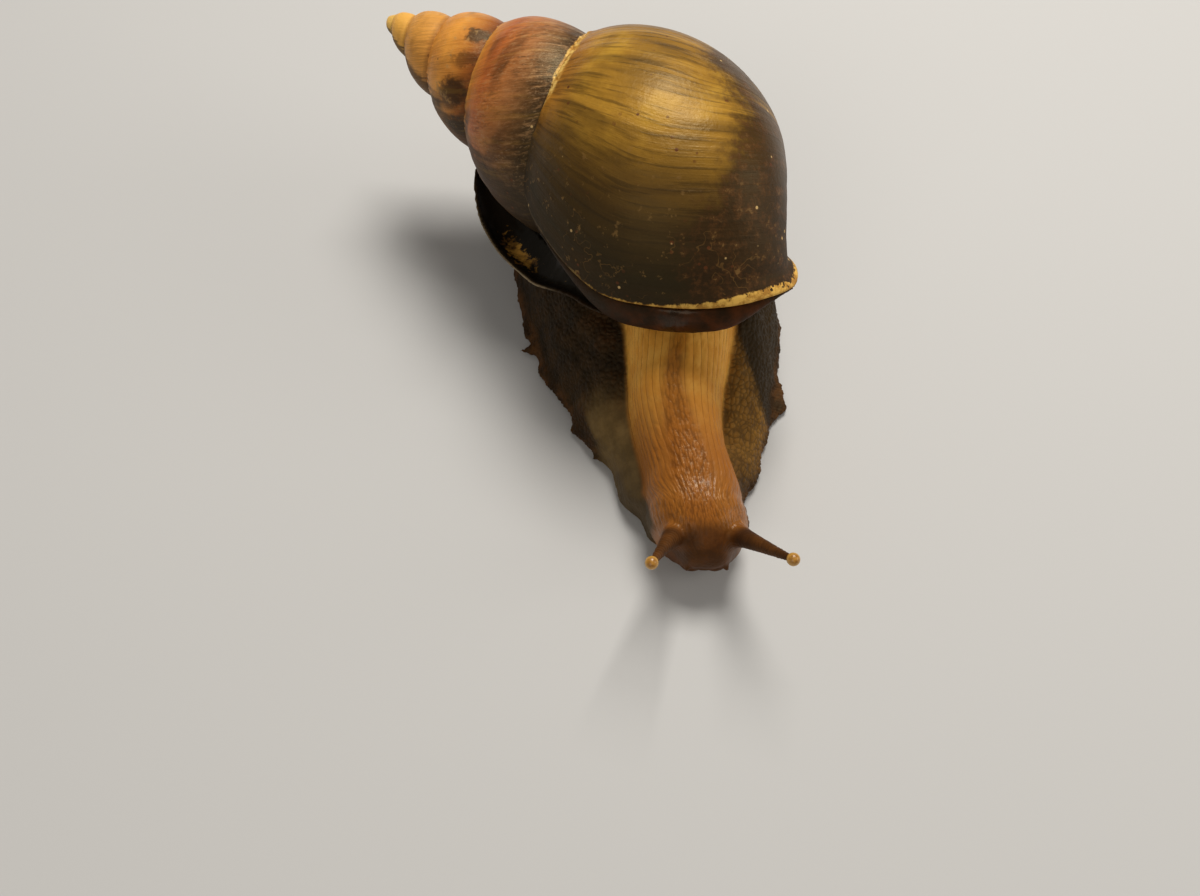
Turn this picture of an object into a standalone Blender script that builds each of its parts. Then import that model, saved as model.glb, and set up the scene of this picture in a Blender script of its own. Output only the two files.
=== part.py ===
"""A giant African land snail at life size, crawling forwards with its shell over its back.

The head points along -Y and the shell's apex points to the snail's right and back. All sizes
are in metres. The model is built with the table top at z = 0, under the middle of the shell,
and is moved at the end so that the middle of its bounding box stands over the origin.
"""

import math
import random

import bmesh
import bpy
import numpy as np
from mathutils import Matrix, Vector

# Gap kept between two pieces that touch
GAP = 0.0003

# Shell: a spiral of elliptical whorls, each a fixed number of times wider than the one before
SHELL_LENGTH = 0.118
WHORL_GROWTH = 1.544
WHORL_OFFSET = 0.01205
WHORL_HALF_WIDTH = 0.02325
WHORL_HALF_LENGTH = 0.0332
APEX_OFFSET = 0.0076
APEX_SOFTNESS = 0.0010
APEX_SLIMMING = 0.32
APEX_SLIM_FROM = 2.7
APEX_SLIM_TURNS = 2.3
WHORLS = 5.4
STATIONS_PER_TURN = 40
COLUMELLA_RADIUS = 0.0036
COLUMELLA_END = SHELL_LENGTH - 0.010
SPIRE_SEGMENTS = 8
WHORL_BASE_SEGMENTS = 10
COLUMELLA_SEGMENTS = 3
GROWTH_RIDGE = 0.00016

# Where the shell is carried: its apex, and the turns of its axis about Z, upwards and about itself
SHELL_APEX = Vector((-0.0499, 0.0408, 0.0448))
SHELL_TURN_BACK = math.radians(33.4)
SHELL_APEX_LIFT = math.radians(7.6)
SHELL_ROLL = math.radians(82.6)

# Aperture: how far the lip lags behind its own turn at each angle of the outline, both in radians
LIP_LINE = (
    (-0.70, 0.0),
    (-0.26, -0.034),
    (-0.09, -0.040),
    (0.09, -0.002),
    (0.26, 0.055),
    (0.44, 0.117),
    (0.61, 0.175),
    (0.79, 0.240),
    (0.96, 0.305),
    (1.13, 0.374),
    (1.31, 0.430),
    (1.57, 0.515),
    (1.75, 0.690),
    (1.92, 0.850),
)
LIP_LINE_TURNS = 0.35
LIP_THICKNESS = 0.0013
LIP_FLARE = 0.0022
LIP_FLARE_TURNS = 0.03
APERTURE_TURNS = (0.0, -0.035, -0.07, -0.10)
APERTURE_END = -0.107
BACK_WALL = 0.0002
DEEPEST_INSET = 0.30
DEEPEST_INSET_GAIN = 0.10
CORNER_INSET = 0.5
CORNER_INSET_GAIN = 0.2

# Mantle collar: how far each edge of the band stands past the lip, in turns, and inside the whorl
COLLAR_PROFILE = (
    (0.0018, LIP_THICKNESS + 0.0004),
    (0.0042, 0.0005),
    (0.016, 0.0001),
    (0.030, 0.0005),
    (0.038, 0.0016),
    (0.0420, 0.0034),
)
COLLAR_CLEARANCE = 0.0005
COLLAR_BACK_WALL = 0.0009
BAND_TAPER = 0.75
BAND_TAPER_FROM = 0.80
BAND_TAPER_OVER = 0.55
BAND_START = -0.60
BAND_START_OVER = 0.70

# Mantle lobe on the snail's right, under the spire: its free rim and its root, from the band to its tip
LOBE_EDGES = (
    ((0.0085, -0.0340, 0.0325), (0.0105, -0.0280, 0.0350)),
    ((0.0030, -0.0338, 0.0288), (0.0055, -0.0245, 0.0335)),
    ((-0.0025, -0.0304, 0.0270), (0.0010, -0.0215, 0.0320)),
    ((-0.0073, -0.0252, 0.0248), (-0.0035, -0.0170, 0.0285)),
    ((-0.0142, -0.0204, 0.0220), (-0.0085, -0.0105, 0.0230)),
    ((-0.0170, -0.0169, 0.0202), (-0.0115, -0.0070, 0.0205)),
    ((-0.0219, -0.0108, 0.0190), (-0.0145, -0.0020, 0.0185)),
    ((-0.0254, -0.0055, 0.0186), (-0.0170, 0.0040, 0.0175)),
    ((-0.0292, 0.0032, 0.0186), (-0.0200, 0.0100, 0.0175)),
    ((-0.0310, 0.0145, 0.0188), (-0.0235, 0.0165, 0.0178)),
    ((-0.0300, 0.0210, 0.0200), (-0.0255, 0.0205, 0.0190)),
)
LOBE_SECTION = (
    (0.0, 0.0, 0.0008),
    (0.12, 0.0016, 0.0014),
    (0.35, 0.0030, 0.0018),
    (0.65, 0.0026, 0.0026),
    (1.0, 0.0010, 0.0034),
)
LOBE_FULL_WIDTH = 0.012

# Foot and neck, from front to back: where each outline stands at a place along the body
FOOT_FRONT, FOOT_SPLIT, TAIL_SPLIT, TAIL_TIP = -0.0775, -0.0330, 0.0240, 0.0850
FOOT_RIGHT_EDGE = (
    (-0.0775, 0.0155),
    (-0.0745, 0.0105),
    (-0.0715, 0.0093),
    (-0.0691, 0.0080),
    (-0.0668, 0.0052),
    (-0.0614, 0.0030),
    (-0.0559, 0.0010),
    (-0.0539, -0.0010),
    (-0.0486, -0.0052),
    (-0.0454, -0.0070),
    (-0.0412, -0.0079),
    (-0.0378, -0.0101),
    (-0.0331, -0.0131),
    (-0.0287, -0.0152),
    (-0.0243, -0.0161),
    (-0.0193, -0.0174),
    (-0.0120, -0.0196),
    (-0.0070, -0.0210),
    (0.0100, -0.0210),
    (0.0300, -0.0170),
    (0.0500, -0.0105),
    (0.0700, -0.0035),
    (0.0850, 0.0022),
)
FOOT_LEFT_EDGE = (
    (-0.0775, 0.0235),
    (-0.0745, 0.0280),
    (-0.0690, 0.0302),
    (-0.0625, 0.0328),
    (-0.0590, 0.0357),
    (-0.0532, 0.0373),
    (-0.0480, 0.0390),
    (-0.0400, 0.0408),
    (-0.0290, 0.0425),
    (-0.0200, 0.0443),
    (-0.0080, 0.0432),
    (0.0100, 0.0400),
    (0.0300, 0.0335),
    (0.0500, 0.0235),
    (0.0700, 0.0120),
    (0.0850, 0.0042),
)
SHOULDER_HEIGHT = (
    (-0.0775, 0.0036),
    (-0.0745, 0.0068),
    (-0.0700, 0.0088),
    (-0.0640, 0.0098),
    (-0.0580, 0.0104),
    (-0.0490, 0.0124),
    (-0.0385, 0.0165),
    (-0.0300, 0.0200),
    (-0.0150, 0.0225),
    (0.0000, 0.0205),
    (0.0140, 0.0145),
    (0.0250, 0.0115),
    (0.0400, 0.0095),
    (0.0600, 0.0068),
    (0.0750, 0.0042),
    (0.0850, 0.0012),
)
CROWN_HEIGHT = (
    (-0.0330, 0.0100),
    (-0.0200, 0.0130),
    (-0.0050, 0.0140),
    (0.0080, 0.0090),
    (0.0200, 0.0035),
    (0.0400, 0.0016),
    (0.0850, 0.0006),
)
NECK_CENTRE = (
    (-0.0860, 0.0222),
    (-0.0786, 0.0216),
    (-0.0716, 0.0204),
    (-0.0640, 0.0193),
    (-0.0580, 0.0178),
    (-0.0490, 0.0166),
    (-0.0385, 0.0173),
    (-0.0300, 0.0177),
    (-0.0200, 0.0155),
    (0.0100, 0.0110),
    (0.0500, 0.0065),
    (0.0850, 0.0032),
)
NECK_HALF_WIDTH = (
    (-0.0775, 0.0035),
    (-0.0740, 0.0080),
    (-0.0700, 0.0103),
    (-0.0640, 0.0098),
    (-0.0580, 0.0096),
    (-0.0490, 0.0101),
    (-0.0385, 0.0110),
    (-0.0300, 0.0121),
    (-0.0150, 0.0160),
    (0.0050, 0.0150),
    (0.0250, 0.0095),
    (0.0500, 0.0050),
    (0.0750, 0.0022),
    (0.0850, 0.0006),
)
NECK_TOP = (
    (-0.0690, 0.0200),
    (-0.0580, 0.0222),
    (-0.0490, 0.0250),
    (-0.0385, 0.0282),
    (-0.0300, 0.0300),
)
NECK_FRONT = -0.0690
NECK_STEP = 0.0025
NECK_POINTS = 25
UNDERSIDE_PARTS = (-0.91, -0.5, 0.0, 0.5, 0.91)
NECK_RIDGE = 0.00030
BACK_SQUARENESS = 2.6
FOOT_STEP = 0.0024
FLANK_POINTS = 5
FLANK_FOOT = 0.0004
FLANK_FULLNESS = 0.75
FRONT_FLANK_FULLNESS = 0.55
FRONT_FLANK = (-0.040, -0.055)
FLANK_TUCK = 0.25
CROWN_FULLNESS = 0.7
MARGIN_HEIGHT = 0.0012
MARGIN_ROLL = 0.0017
FRILL = 0.0011
FRILL_WAVES = ((1900, 0.5), (4300, 0.35))
NARROW_FOOT = 0.020
FRINGE_LOBES = (
    (-0.0405, 1, 0.0040, 0.0045),
    (-0.0360, 1, 0.0020, 0.0065),
    (-0.0238, -1, 0.0045, 0.0016),
    (-0.0195, -1, 0.0012, 0.0020),
    (-0.0300, -1, 0.0012, 0.0018),
    (-0.0460, -1, 0.0012, 0.0016),
    (-0.0539, -1, 0.0026, 0.0012),
)

# Head: half width, top and underside at each place, from the neck to the tip of the snout
HEAD_HALF_WIDTH = (
    (-0.0848, 0.0022),
    (-0.0843, 0.0036),
    (-0.0835, 0.0046),
    (-0.0820, 0.0056),
    (-0.0805, 0.0065),
    (-0.0786, 0.0084),
    (-0.0765, 0.0100),
    (-0.0740, 0.0107),
    (-0.0690, 0.0104),
)
HEAD_TOP = (
    (-0.0848, 0.0116),
    (-0.0843, 0.0128),
    (-0.0830, 0.0148),
    (-0.0800, 0.0172),
    (-0.0750, 0.0192),
    (-0.0690, 0.0200),
)
HEAD_UNDERSIDE = (
    (-0.0848, 0.0102),
    (-0.0841, 0.0086),
    (-0.0830, 0.0060),
    (-0.0815, 0.0034),
    (-0.0802, 0.0022),
    (-0.0788, 0.0028),
    (-0.0772, 0.0050),
    (-0.0745, 0.0064),
    (-0.0690, 0.0068),
)
HEAD_RINGS = 12
SNOUT_WAIST = 0.45

# Tentacles: root, tip, and how thick each is; the upper pair carries the eyes
UPPER_TENTACLES = {
    "right": ((0.0150, -0.0795, 0.0150), (0.0097, -0.0926, 0.0305)),
    "left": ((0.0289, -0.0797, 0.0150), (0.0364, -0.0918, 0.0303)),
}
TENTACLE_ROOT_RADIUS = 0.0022
TENTACLE_TIP_RADIUS = 0.00095
TENTACLE_RINGING = 0.00006
EYE_RADIUS = 0.00130
EYE_SEAT = 52
BOSS_LENGTH = 0.0042
BOSS_DEPTH = 0.002
BOSS_RADIUS = 0.0030
LOWER_TENTACLES = {
    "right": ((0.0178, -0.0812, 0.0088), (0.0180, -0.0848, 0.0086)),
    "left": ((0.0262, -0.0812, 0.0088), (0.0264, -0.0848, 0.0086)),
}
LOWER_RADII = (0.00105, 0.00098, 0.00086, 0.00045)
LOWER_BOSS_LENGTH = 0.0016
LOWER_BOSS_DEPTH = 0.001
LOWER_BOSS_RADIUS = 0.0016

# Mouth: two soft lobes and an upper lip round the slit under the snout
LIP_LOBES = (
    ((0.0196, -0.0809, 0.0042), (0.0027, 0.0018, 0.0024)),
    ((0.0244, -0.0809, 0.0042), (0.0027, 0.0018, 0.0024)),
    ((0.0220, -0.0820, 0.0066), (0.0036, 0.0017, 0.0015)),
)

SEED = 11


def clear_scene():
    for item in list(bpy.data.objects):
        bpy.data.objects.remove(item, do_unlink=True)


def principled(name, colour, roughness):
    made = bpy.data.materials.new(name)
    made.use_nodes = True
    shader = made.node_tree.nodes["Principled BSDF"]
    shader.inputs["Base Color"].default_value = (*colour, 1.0)
    shader.inputs["Roughness"].default_value = roughness
    shader.inputs["Metallic"].default_value = 0.0
    return made


def solid(name, points, triangles, material=None):
    """A closed mesh object with its faces pointing out."""
    mesh = bpy.data.meshes.new(name)
    mesh.from_pydata([tuple(point) for point in points], [], triangles)
    work = bmesh.new()
    work.from_mesh(mesh)
    bmesh.ops.remove_doubles(work, verts=work.verts, dist=1e-7)
    bmesh.ops.dissolve_degenerate(work, edges=work.edges, dist=1e-7)
    bmesh.ops.recalc_face_normals(work, faces=work.faces)
    if work.calc_volume(signed=True) < 0:
        bmesh.ops.reverse_faces(work, faces=work.faces)
    work.to_mesh(mesh)
    work.free()
    made = bpy.data.objects.new(name, mesh)
    bpy.context.scene.collection.objects.link(made)
    if material:
        mesh.materials.append(material)
    return made


def smooth_curve(points):
    """A smooth function through (place, value) pairs, level past both ends."""
    places = np.array([place for place, _ in points])
    values = np.array([value for _, value in points])
    slopes = np.gradient(values, places)

    def at(place):
        place = min(max(place, places[0]), places[-1])
        i = min(int(np.searchsorted(places, place, side="right")) - 1, len(places) - 2)
        width = places[i + 1] - places[i]
        t = (place - places[i]) / width
        return float(
            values[i] * (1 + 2 * t) * (1 - t) ** 2
            + slopes[i] * width * t * (1 - t) ** 2
            + values[i + 1] * t * t * (3 - 2 * t)
            + slopes[i + 1] * width * t * t * (t - 1)
        )

    return at


def smoothstep(value):
    value = min(max(value, 0.0), 1.0)
    return value * value * (3 - 2 * value)


def ring_strip(first, second, count):
    """Triangles between two closed rings, given by the index of their first points."""
    triangles = []
    for i in range(count):
        j = (i + 1) % count
        triangles.append((first + i, first + j, second + j))
        triangles.append((first + i, second + j, second + i))
    return triangles


def loft(rings):
    """Points and triangles of a tube through rings of equally many points, closed at both ends."""
    count = len(rings[0])
    points = [Vector(point) for ring in rings for point in ring]
    triangles = []
    for row in range(len(rings) - 1):
        triangles += ring_strip(row * count, (row + 1) * count, count)
    for row in (0, len(rings) - 1):
        middle = sum((Vector(point) for point in rings[row]), Vector()) / count
        points.append(middle)
        for i in range(count):
            triangles.append((row * count + i, row * count + (i + 1) % count, len(points) - 1))
    return points, triangles


def apply_boolean(target, tools, operation, solver="EXACT"):
    """Joins the closed meshes `tools` to `target`, or cuts them from it, and removes them."""
    group = bpy.data.collections.new("tools")
    bpy.context.scene.collection.children.link(group)
    for tool in tools:
        bpy.context.scene.collection.objects.unlink(tool)
        group.objects.link(tool)
    modifier = target.modifiers.new("boolean", "BOOLEAN")
    modifier.operation = operation
    modifier.operand_type = "COLLECTION"
    modifier.collection = group
    modifier.solver = solver
    bpy.context.view_layer.update()
    graph = bpy.context.evaluated_depsgraph_get()
    result = bpy.data.meshes.new_from_object(target.evaluated_get(graph))
    target.modifiers.remove(modifier)
    target.data = result
    for tool in list(group.objects):
        bpy.data.objects.remove(tool, do_unlink=True)
    bpy.data.collections.remove(group)


def keep_largest_surface(target):
    """Leaves only the closed surface that holds the most room."""
    work = bmesh.new()
    work.from_mesh(target.data)
    bmesh.ops.triangulate(work, faces=work.faces)
    left = set(work.faces)
    surfaces = []
    while left:
        surface = {left.pop()}
        edge_of = list(surface)
        while edge_of:
            face = edge_of.pop()
            for edge in face.edges:
                for other in edge.link_faces:
                    if other in left:
                        left.remove(other)
                        surface.add(other)
                        edge_of.append(other)
        surfaces.append(surface)

    def room(surface):
        total = 0.0
        for face in surface:
            a, b, c = (vert.co for vert in face.verts)
            total += a.dot(b.cross(c))
        return abs(total)

    largest = max(surfaces, key=room)
    spare = [face for face in work.faces if face not in largest]
    bmesh.ops.delete(work, geom=spare, context="FACES")
    work.to_mesh(target.data)
    work.free()


def grown(source, distance):
    """A copy of a solid with its surface moved outwards, used to cut clearance round it."""
    copy = bpy.data.objects.new(source.name + "_clearance", source.data.copy())
    bpy.context.scene.collection.objects.link(copy)
    normals = [vertex.normal.copy() for vertex in copy.data.vertices]
    for vertex, normal in zip(copy.data.vertices, normals):
        vertex.co += normal * distance
    return copy


def whorl(turn):
    """Section of the whorl: radius and height of its centre, half width, half length.

    `turn` is 0 at the lip and falls by 1 for each whorl back. Heights run from the apex.
    """
    size = WHORL_GROWTH**turn
    half_length = WHORL_HALF_LENGTH * size
    height = (SHELL_LENGTH - WHORL_HALF_LENGTH + APEX_OFFSET) * size - APEX_OFFSET
    top = APEX_SOFTNESS * float(np.logaddexp(0.0, (height - half_length) / APEX_SOFTNESS))
    wide = size * (1 - APEX_SLIMMING * smoothstep((-turn - APEX_SLIM_FROM) / APEX_SLIM_TURNS))
    return WHORL_OFFSET * wide, top + half_length, WHORL_HALF_WIDTH * wide, half_length


def on_whorl(turn, angle):
    """(radius, height) of a point of the whorl's outline, from -90 degrees at its top."""
    centre, height, half_width, half_length = whorl(turn)
    return centre + half_width * math.cos(angle), height + half_length * math.sin(angle)


def suture_angle(turn):
    """Where this whorl's outline leaves the whorl before it."""
    centre, height, half_width, half_length = whorl(turn - 1)
    inside, outside = -math.pi / 2, 0.0
    for _ in range(40):
        middle = (inside + outside) / 2
        radius, place = on_whorl(turn, middle)
        if ((radius - centre) / half_width) ** 2 + ((place - height) / half_length) ** 2 > 1:
            outside = middle
        else:
            inside = middle
    return outside


def covered_angle(turn):
    """Where the next whorl covers this whorl's outline."""
    radius, place = on_whorl(turn + 1, suture_angle(turn + 1))
    centre, height, half_width, half_length = whorl(turn)
    return math.atan2((place - height) / half_length, (radius - centre) / half_width)


def lip_shift(turn, angle):
    """How far the growing edge stands ahead of its own turn, in radians. The band past the lip tapers."""
    ramp = smoothstep(1 + turn / LIP_LINE_TURNS)
    taper = BAND_TAPER * smoothstep((angle - BAND_TAPER_FROM) / BAND_TAPER_OVER)
    taper += BAND_TAPER * (1 - smoothstep((angle - BAND_START) / BAND_START_OVER))
    return -ramp * curves["lip_line"](angle) - max(0.0, turn) * math.tau * taper


def growth_place(turn, angle):
    """Radius, height and angle about the axis of a point of the growing edge."""
    shift = lip_shift(turn, angle)
    radius, height = on_whorl(turn + shift / math.tau, angle)
    flare = LIP_FLARE * smoothstep(1 + turn / LIP_FLARE_TURNS) * max(0.0, math.sin(angle)) ** 2
    radius += flare * math.cos(angle)
    height += flare * math.sin(angle)
    return np.array((radius, height, turn * math.tau + shift))


def spire_row(turn):
    """The stretch of a growth line that the next whorl leaves free."""
    start, end = suture_angle(turn), covered_angle(turn)
    parts = [i / SPIRE_SEGMENTS for i in range(SPIRE_SEGMENTS + 1)]
    return [growth_place(turn, start + (end - start) * part) for part in parts]


def base_row(turn):
    """The rest of a growth line, round the base of the shell and along the columella to its end."""
    start = covered_angle(turn)
    centre, _, half_width, _ = whorl(turn)
    end = math.acos((COLUMELLA_RADIUS - centre) / half_width)
    steps = [start + (end - start) * i / WHORL_BASE_SEGMENTS for i in range(WHORL_BASE_SEGMENTS + 1)]
    row = [growth_place(turn, angle) for angle in steps]
    radius, height, turned = row[-1]
    for i in range(1, COLUMELLA_SEGMENTS + 1):
        part = i / COLUMELLA_SEGMENTS
        row.append(
            np.array(
                (
                    radius * math.sqrt(1 - part**4),
                    height + (COLUMELLA_END - height) * part,
                    turned + (turn * math.tau - turned) * part,
                )
            )
        )
    return row


def shell_axes():
    """Unit vectors of the shell: from apex to base, towards the lip, and the way it grows."""
    back, lift = SHELL_TURN_BACK, SHELL_APEX_LIFT
    level = Vector((-math.cos(back), math.sin(back), 0.0))
    to_apex = level * math.cos(lift) + Vector((0, 0, math.sin(lift)))
    down = -to_apex
    above = (Vector((0, 0, 1)) - down * down.z).normalized()
    aside = down.cross(above)
    to_lip = math.cos(SHELL_ROLL) * above + math.sin(SHELL_ROLL) * aside
    return down, to_lip, down.cross(to_lip)


def shell_point(place):
    radius, height, angle = place
    down, to_lip, growing = shell_axes()
    return SHELL_APEX + down * height + (to_lip * math.cos(angle) + growing * math.sin(angle)) * radius


def aperture_loop(turn, outer_inset, inner_inset):
    """Closed loop round the tube of the whorl, set in from the outer wall and from the wall behind.

    The outer side is the growing edge. The inner side is the whorl before it and the columella.
    """
    outer = spire_row(turn)[:-1] + base_row(turn)
    inner = [place + np.array((0.0, 0.0, math.tau)) for place in base_row(turn - 1)]

    def partner(row, part):
        place = part * (len(row) - 1)
        low = min(int(place), len(row) - 2)
        return row[low] + (row[low + 1] - row[low]) * (place - low)

    def moved(row, other, i, inset, side):
        mate = partner(other, i / (len(row) - 1))
        width = math.hypot(*(mate - row[i])[:2])
        along = row[i + 1] - row[i - 1]
        across = np.array((-along[1], along[0], 0.0)) * side / math.hypot(along[0], along[1])
        share = DEEPEST_INSET + DEEPEST_INSET_GAIN * min(1.0, inset / (2 * LIP_THICKNESS))
        return row[i] + across * min(inset, share * width)

    sides = [moved(outer, inner, i, outer_inset, 1) for i in range(1, len(outer) - 1)]
    backs = [moved(inner, outer, i, inner_inset, -1) for i in range(len(inner) - 2, 0, -1)]
    corner = CORNER_INSET + CORNER_INSET_GAIN * min(1.0, outer_inset / (2 * LIP_THICKNESS))
    first = outer[0] + ((sides[0] + backs[-1]) / 2 - outer[0]) * corner
    last = outer[-1] + ((sides[-1] + backs[0]) / 2 - outer[-1]) * corner
    return [first] + sides + [last] + backs


def cap(loop):
    """Triangles across a loop of point numbers, from its outer side to the side that runs back."""
    bend = SPIRE_SEGMENTS + WHORL_BASE_SEGMENTS + COLUMELLA_SEGMENTS
    outer, inner = 0, len(loop) - 1
    triangles = []
    while outer < bend or inner > bend + 1:
        behind = outer / bend <= (len(loop) - 1 - inner) / (len(loop) - 2 - bend)
        if outer < bend and (behind or inner == bend + 1):
            triangles.append((loop[outer], loop[outer + 1], loop[inner]))
            outer += 1
        else:
            triangles.append((loop[outer], loop[inner - 1], loop[inner]))
            inner -= 1
    return triangles


def shell_mesh(open_aperture):
    """The whole shell as one closed surface, with the first part of its tube hollow."""
    rng = random.Random(SEED)
    last = round(WHORLS * STATIONS_PER_TURN)
    turns = [(i - last) / STATIONS_PER_TURN for i in range(last + 1)]
    points, rows = [], []

    def add(place):
        points.append(shell_point(place))
        return len(points) - 1

    pole = add((0.0, COLUMELLA_END, 0.0))
    top_turn = turns[0]
    nucleus = add((0.0, whorl(top_turn - 0.5)[1] - whorl(top_turn - 0.5)[3], 0.0))
    starts = {}
    for i, turn in enumerate(turns):
        starts[i] = add(growth_place(turn, suture_angle(turn)))
    for i, turn in enumerate(turns):
        upper = spire_row(turn)
        ripple = rng.uniform(-GROWTH_RIDGE, GROWTH_RIDGE) * WHORL_GROWTH**turn
        opening = smoothstep(2 * i / STATIONS_PER_TURN)
        row = [starts[i]]
        for j in range(1, SPIRE_SEGMENTS):
            part = j / SPIRE_SEGMENTS
            chord = upper[0] + (upper[-1] - upper[0]) * part
            place = chord + (upper[j] - chord) * opening
            place[0] += ripple * math.sin(math.pi * part)
            row.append(add(place))
        if i + STATIONS_PER_TURN <= last:
            row.append(starts[i + STATIONS_PER_TURN])
        else:
            row.append(add(upper[-1]))
        if i + STATIONS_PER_TURN >= last:
            base = base_row(turn)
            for place in base[1:-1]:
                row.append(add(place))
            row.append(pole)
        rows.append(row)

    triangles = []
    for near, far in zip(rows, rows[1:]):
        for j in range(min(len(near), len(far)) - 1):
            triangles.append((near[j], near[j + 1], far[j + 1]))
            triangles.append((near[j], far[j + 1], far[j]))
    spiral = [starts[i] for i in range(STATIONS_PER_TURN + 1)] + rows[0][-2:0:-1]
    for a, b in zip(spiral, spiral[1:] + spiral[:1]):
        triangles.append((a, b, nucleus))

    lip = rows[last]
    behind = rows[last - STATIONS_PER_TURN][SPIRE_SEGMENTS:]
    mouth = lip + behind[-2:0:-1]
    if open_aperture:
        deeper = APERTURE_TURNS + (APERTURE_END,)
        loops = [aperture_loop(turn, LIP_THICKNESS, BACK_WALL) for turn in deeper]
        count = len(mouth)
        firsts = []
        for loop in loops:
            firsts.append(len(points))
            for place in loop:
                add(place)
        for i in range(count):
            j = (i + 1) % count
            triangles.append((mouth[i], mouth[j], firsts[0] + j))
            triangles.append((mouth[i], firsts[0] + j, firsts[0] + i))
        for near, far in zip(firsts, firsts[1:]):
            triangles += ring_strip(near, far, count)
        triangles += cap(range(firsts[-1], firsts[-1] + count))
    else:
        triangles += cap(mouth)
    return points, triangles


def collar_mesh():
    """The mantle's thick edge: a plug in the mouth of the shell, with a smooth band past the lip."""
    inside = LIP_THICKNESS + COLLAR_CLEARANCE
    loops = [aperture_loop(turn, inside, COLLAR_BACK_WALL) for turn in APERTURE_TURNS[::-1]]
    loops += [aperture_loop(turn, inset, COLLAR_BACK_WALL) for turn, inset in COLLAR_PROFILE]
    count = len(loops[0])
    points = [shell_point(place) for loop in loops for place in loop]
    triangles = []
    for row in range(len(loops) - 1):
        triangles += ring_strip(row * count, (row + 1) * count, count)
    triangles += cap(range(count))
    triangles += cap(range((len(loops) - 1) * count, len(loops) * count))
    return points, triangles


def lobe_mesh():
    """A cupped flap with a thin free rim, thickening to the root that it shares with the collar."""
    rings = []
    for i in range(2 * len(LOBE_EDGES) - 1):
        low, between = divmod(i, 2)
        high = min(low + between, len(LOBE_EDGES) - 1)
        rim = (Vector(LOBE_EDGES[low][0]) + Vector(LOBE_EDGES[high][0])) / 2
        root = (Vector(LOBE_EDGES[low][1]) + Vector(LOBE_EDGES[high][1])) / 2
        cup = min(1.0, (root - rim).length / LOBE_FULL_WIDTH)
        upper, lower = [], []
        for share, sink, thickness in LOBE_SECTION:
            middle = rim.lerp(root, share) - Vector((0, 0, sink * cup))
            upper.append(middle + Vector((0, 0, thickness / 2)))
            lower.append(middle - Vector((0, 0, thickness / 2)))
        rings.append(upper + lower[::-1])
    return loft(rings)


def frill(place, side, start):
    """How far the ragged edge of the foot stands out at a place, on the side of +X or -X."""
    reach = FRILL * sum(height * math.sin(place * pace + start) for pace, height in FRILL_WAVES)
    for centre, lobe_side, length, width in FRINGE_LOBES:
        if lobe_side == side:
            reach += length * max(0.0, 1 - abs(place - centre) / width)
    return reach


def foot_ring(place, crowned):
    """Section of the foot: flat sole, thin ragged margins, rounded flanks and the back."""
    right, left = curves["foot_right"](place), curves["foot_left"](place)
    centre, half = curves["neck_centre"](place), curves["neck_half"](place)
    height = curves["shoulder"](place)
    spread = min(1.0, (left - right) / NARROW_FOOT)
    right_tip = right - frill(place, -1, 0.4) * spread
    left_tip = left + frill(place, 1, 1.7) * spread
    margin = min(MARGIN_HEIGHT, height * 0.5)
    roll = min(MARGIN_ROLL, (left - right) * 0.2)
    centre_line = (right + left) / 2
    ring = [(right + roll, 0.0), (centre_line, 0.0), (left - roll, 0.0), (left_tip, margin)]
    top_left = max(centre + half, centre_line + FLANK_FOOT)
    top_right = min(centre - half, centre_line - FLANK_FOOT)
    rise = height - margin - FLANK_FOOT
    forward = smoothstep((FRONT_FLANK[0] - place) / (FRONT_FLANK[0] - FRONT_FLANK[1]))
    fullness = FLANK_FULLNESS + (FRONT_FLANK_FULLNESS - FLANK_FULLNESS) * forward

    def flank(edge, shoulder, part):
        tuck = FLANK_TUCK + (1 - FLANK_TUCK) * smoothstep(part / FLANK_TUCK)
        bulge = math.sin(math.pi / 2 * part) ** fullness * tuck
        return edge + (shoulder - edge) * part, margin + FLANK_FOOT + rise * bulge

    for i in range(1, FLANK_POINTS + 1):
        ring.append(flank(left, top_left, i / (FLANK_POINTS + 1)))
    ring.append((top_left, height))
    crown = curves["crown"](place) if crowned else 0.0
    for part in (0.25, 0.5, 0.75):
        lift = crown * math.sin(math.pi * part) ** CROWN_FULLNESS
        ring.append((top_left + (top_right - top_left) * part, height + lift))
    ring.append((top_right, height))
    for i in range(FLANK_POINTS, 0, -1):
        ring.append(flank(right, top_right, i / (FLANK_POINTS + 1)))
    ring.append((right_tip, margin))
    return [(x, place, z) for x, z in ring]


def taper(start, end, count):
    """Evenly spaced values from start to end."""
    return [start + (end - start) * i / (count - 1) for i in range(count)]


def stations(start, end, step):
    return taper(start, end, max(2, round(abs(end - start) / step) + 1))


def foot_piece(name, start, end, crowned):
    rings = [foot_ring(place, crowned) for place in stations(start, end, FOOT_STEP)]
    return solid(name, *loft(rings), FOOT_SKIN)


def body_ring(place, half, top, bottom, waist_share, ridge, rng):
    """Section of the neck or head: a flat or rounded underside and a grooved, rounded back."""
    centre = curves["neck_centre"](place)
    waist = bottom + (top - bottom) * waist_share
    ring = []
    for i in range(NECK_POINTS):
        angle = math.pi * i / (NECK_POINTS - 1)
        across, up = math.cos(angle), math.sin(angle)
        groove = 0.0
        if 0 < i < NECK_POINTS - 1:
            groove = ridge * (1 if i % 2 else -1) * rng.uniform(0.4, 1.0)
        x = math.copysign(abs(across) ** (2 / BACK_SQUARENESS), across) * (half + groove)
        z = waist + (top - waist + groove) * up ** (2 / BACK_SQUARENESS)
        ring.append((centre + x, place, z))
    for part in UNDERSIDE_PARTS:
        drop = (1 - part**2) ** 0.5 if waist_share else 1.0
        ring.append((centre + half * part, place, waist - (waist - bottom) * drop))
    return ring


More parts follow.
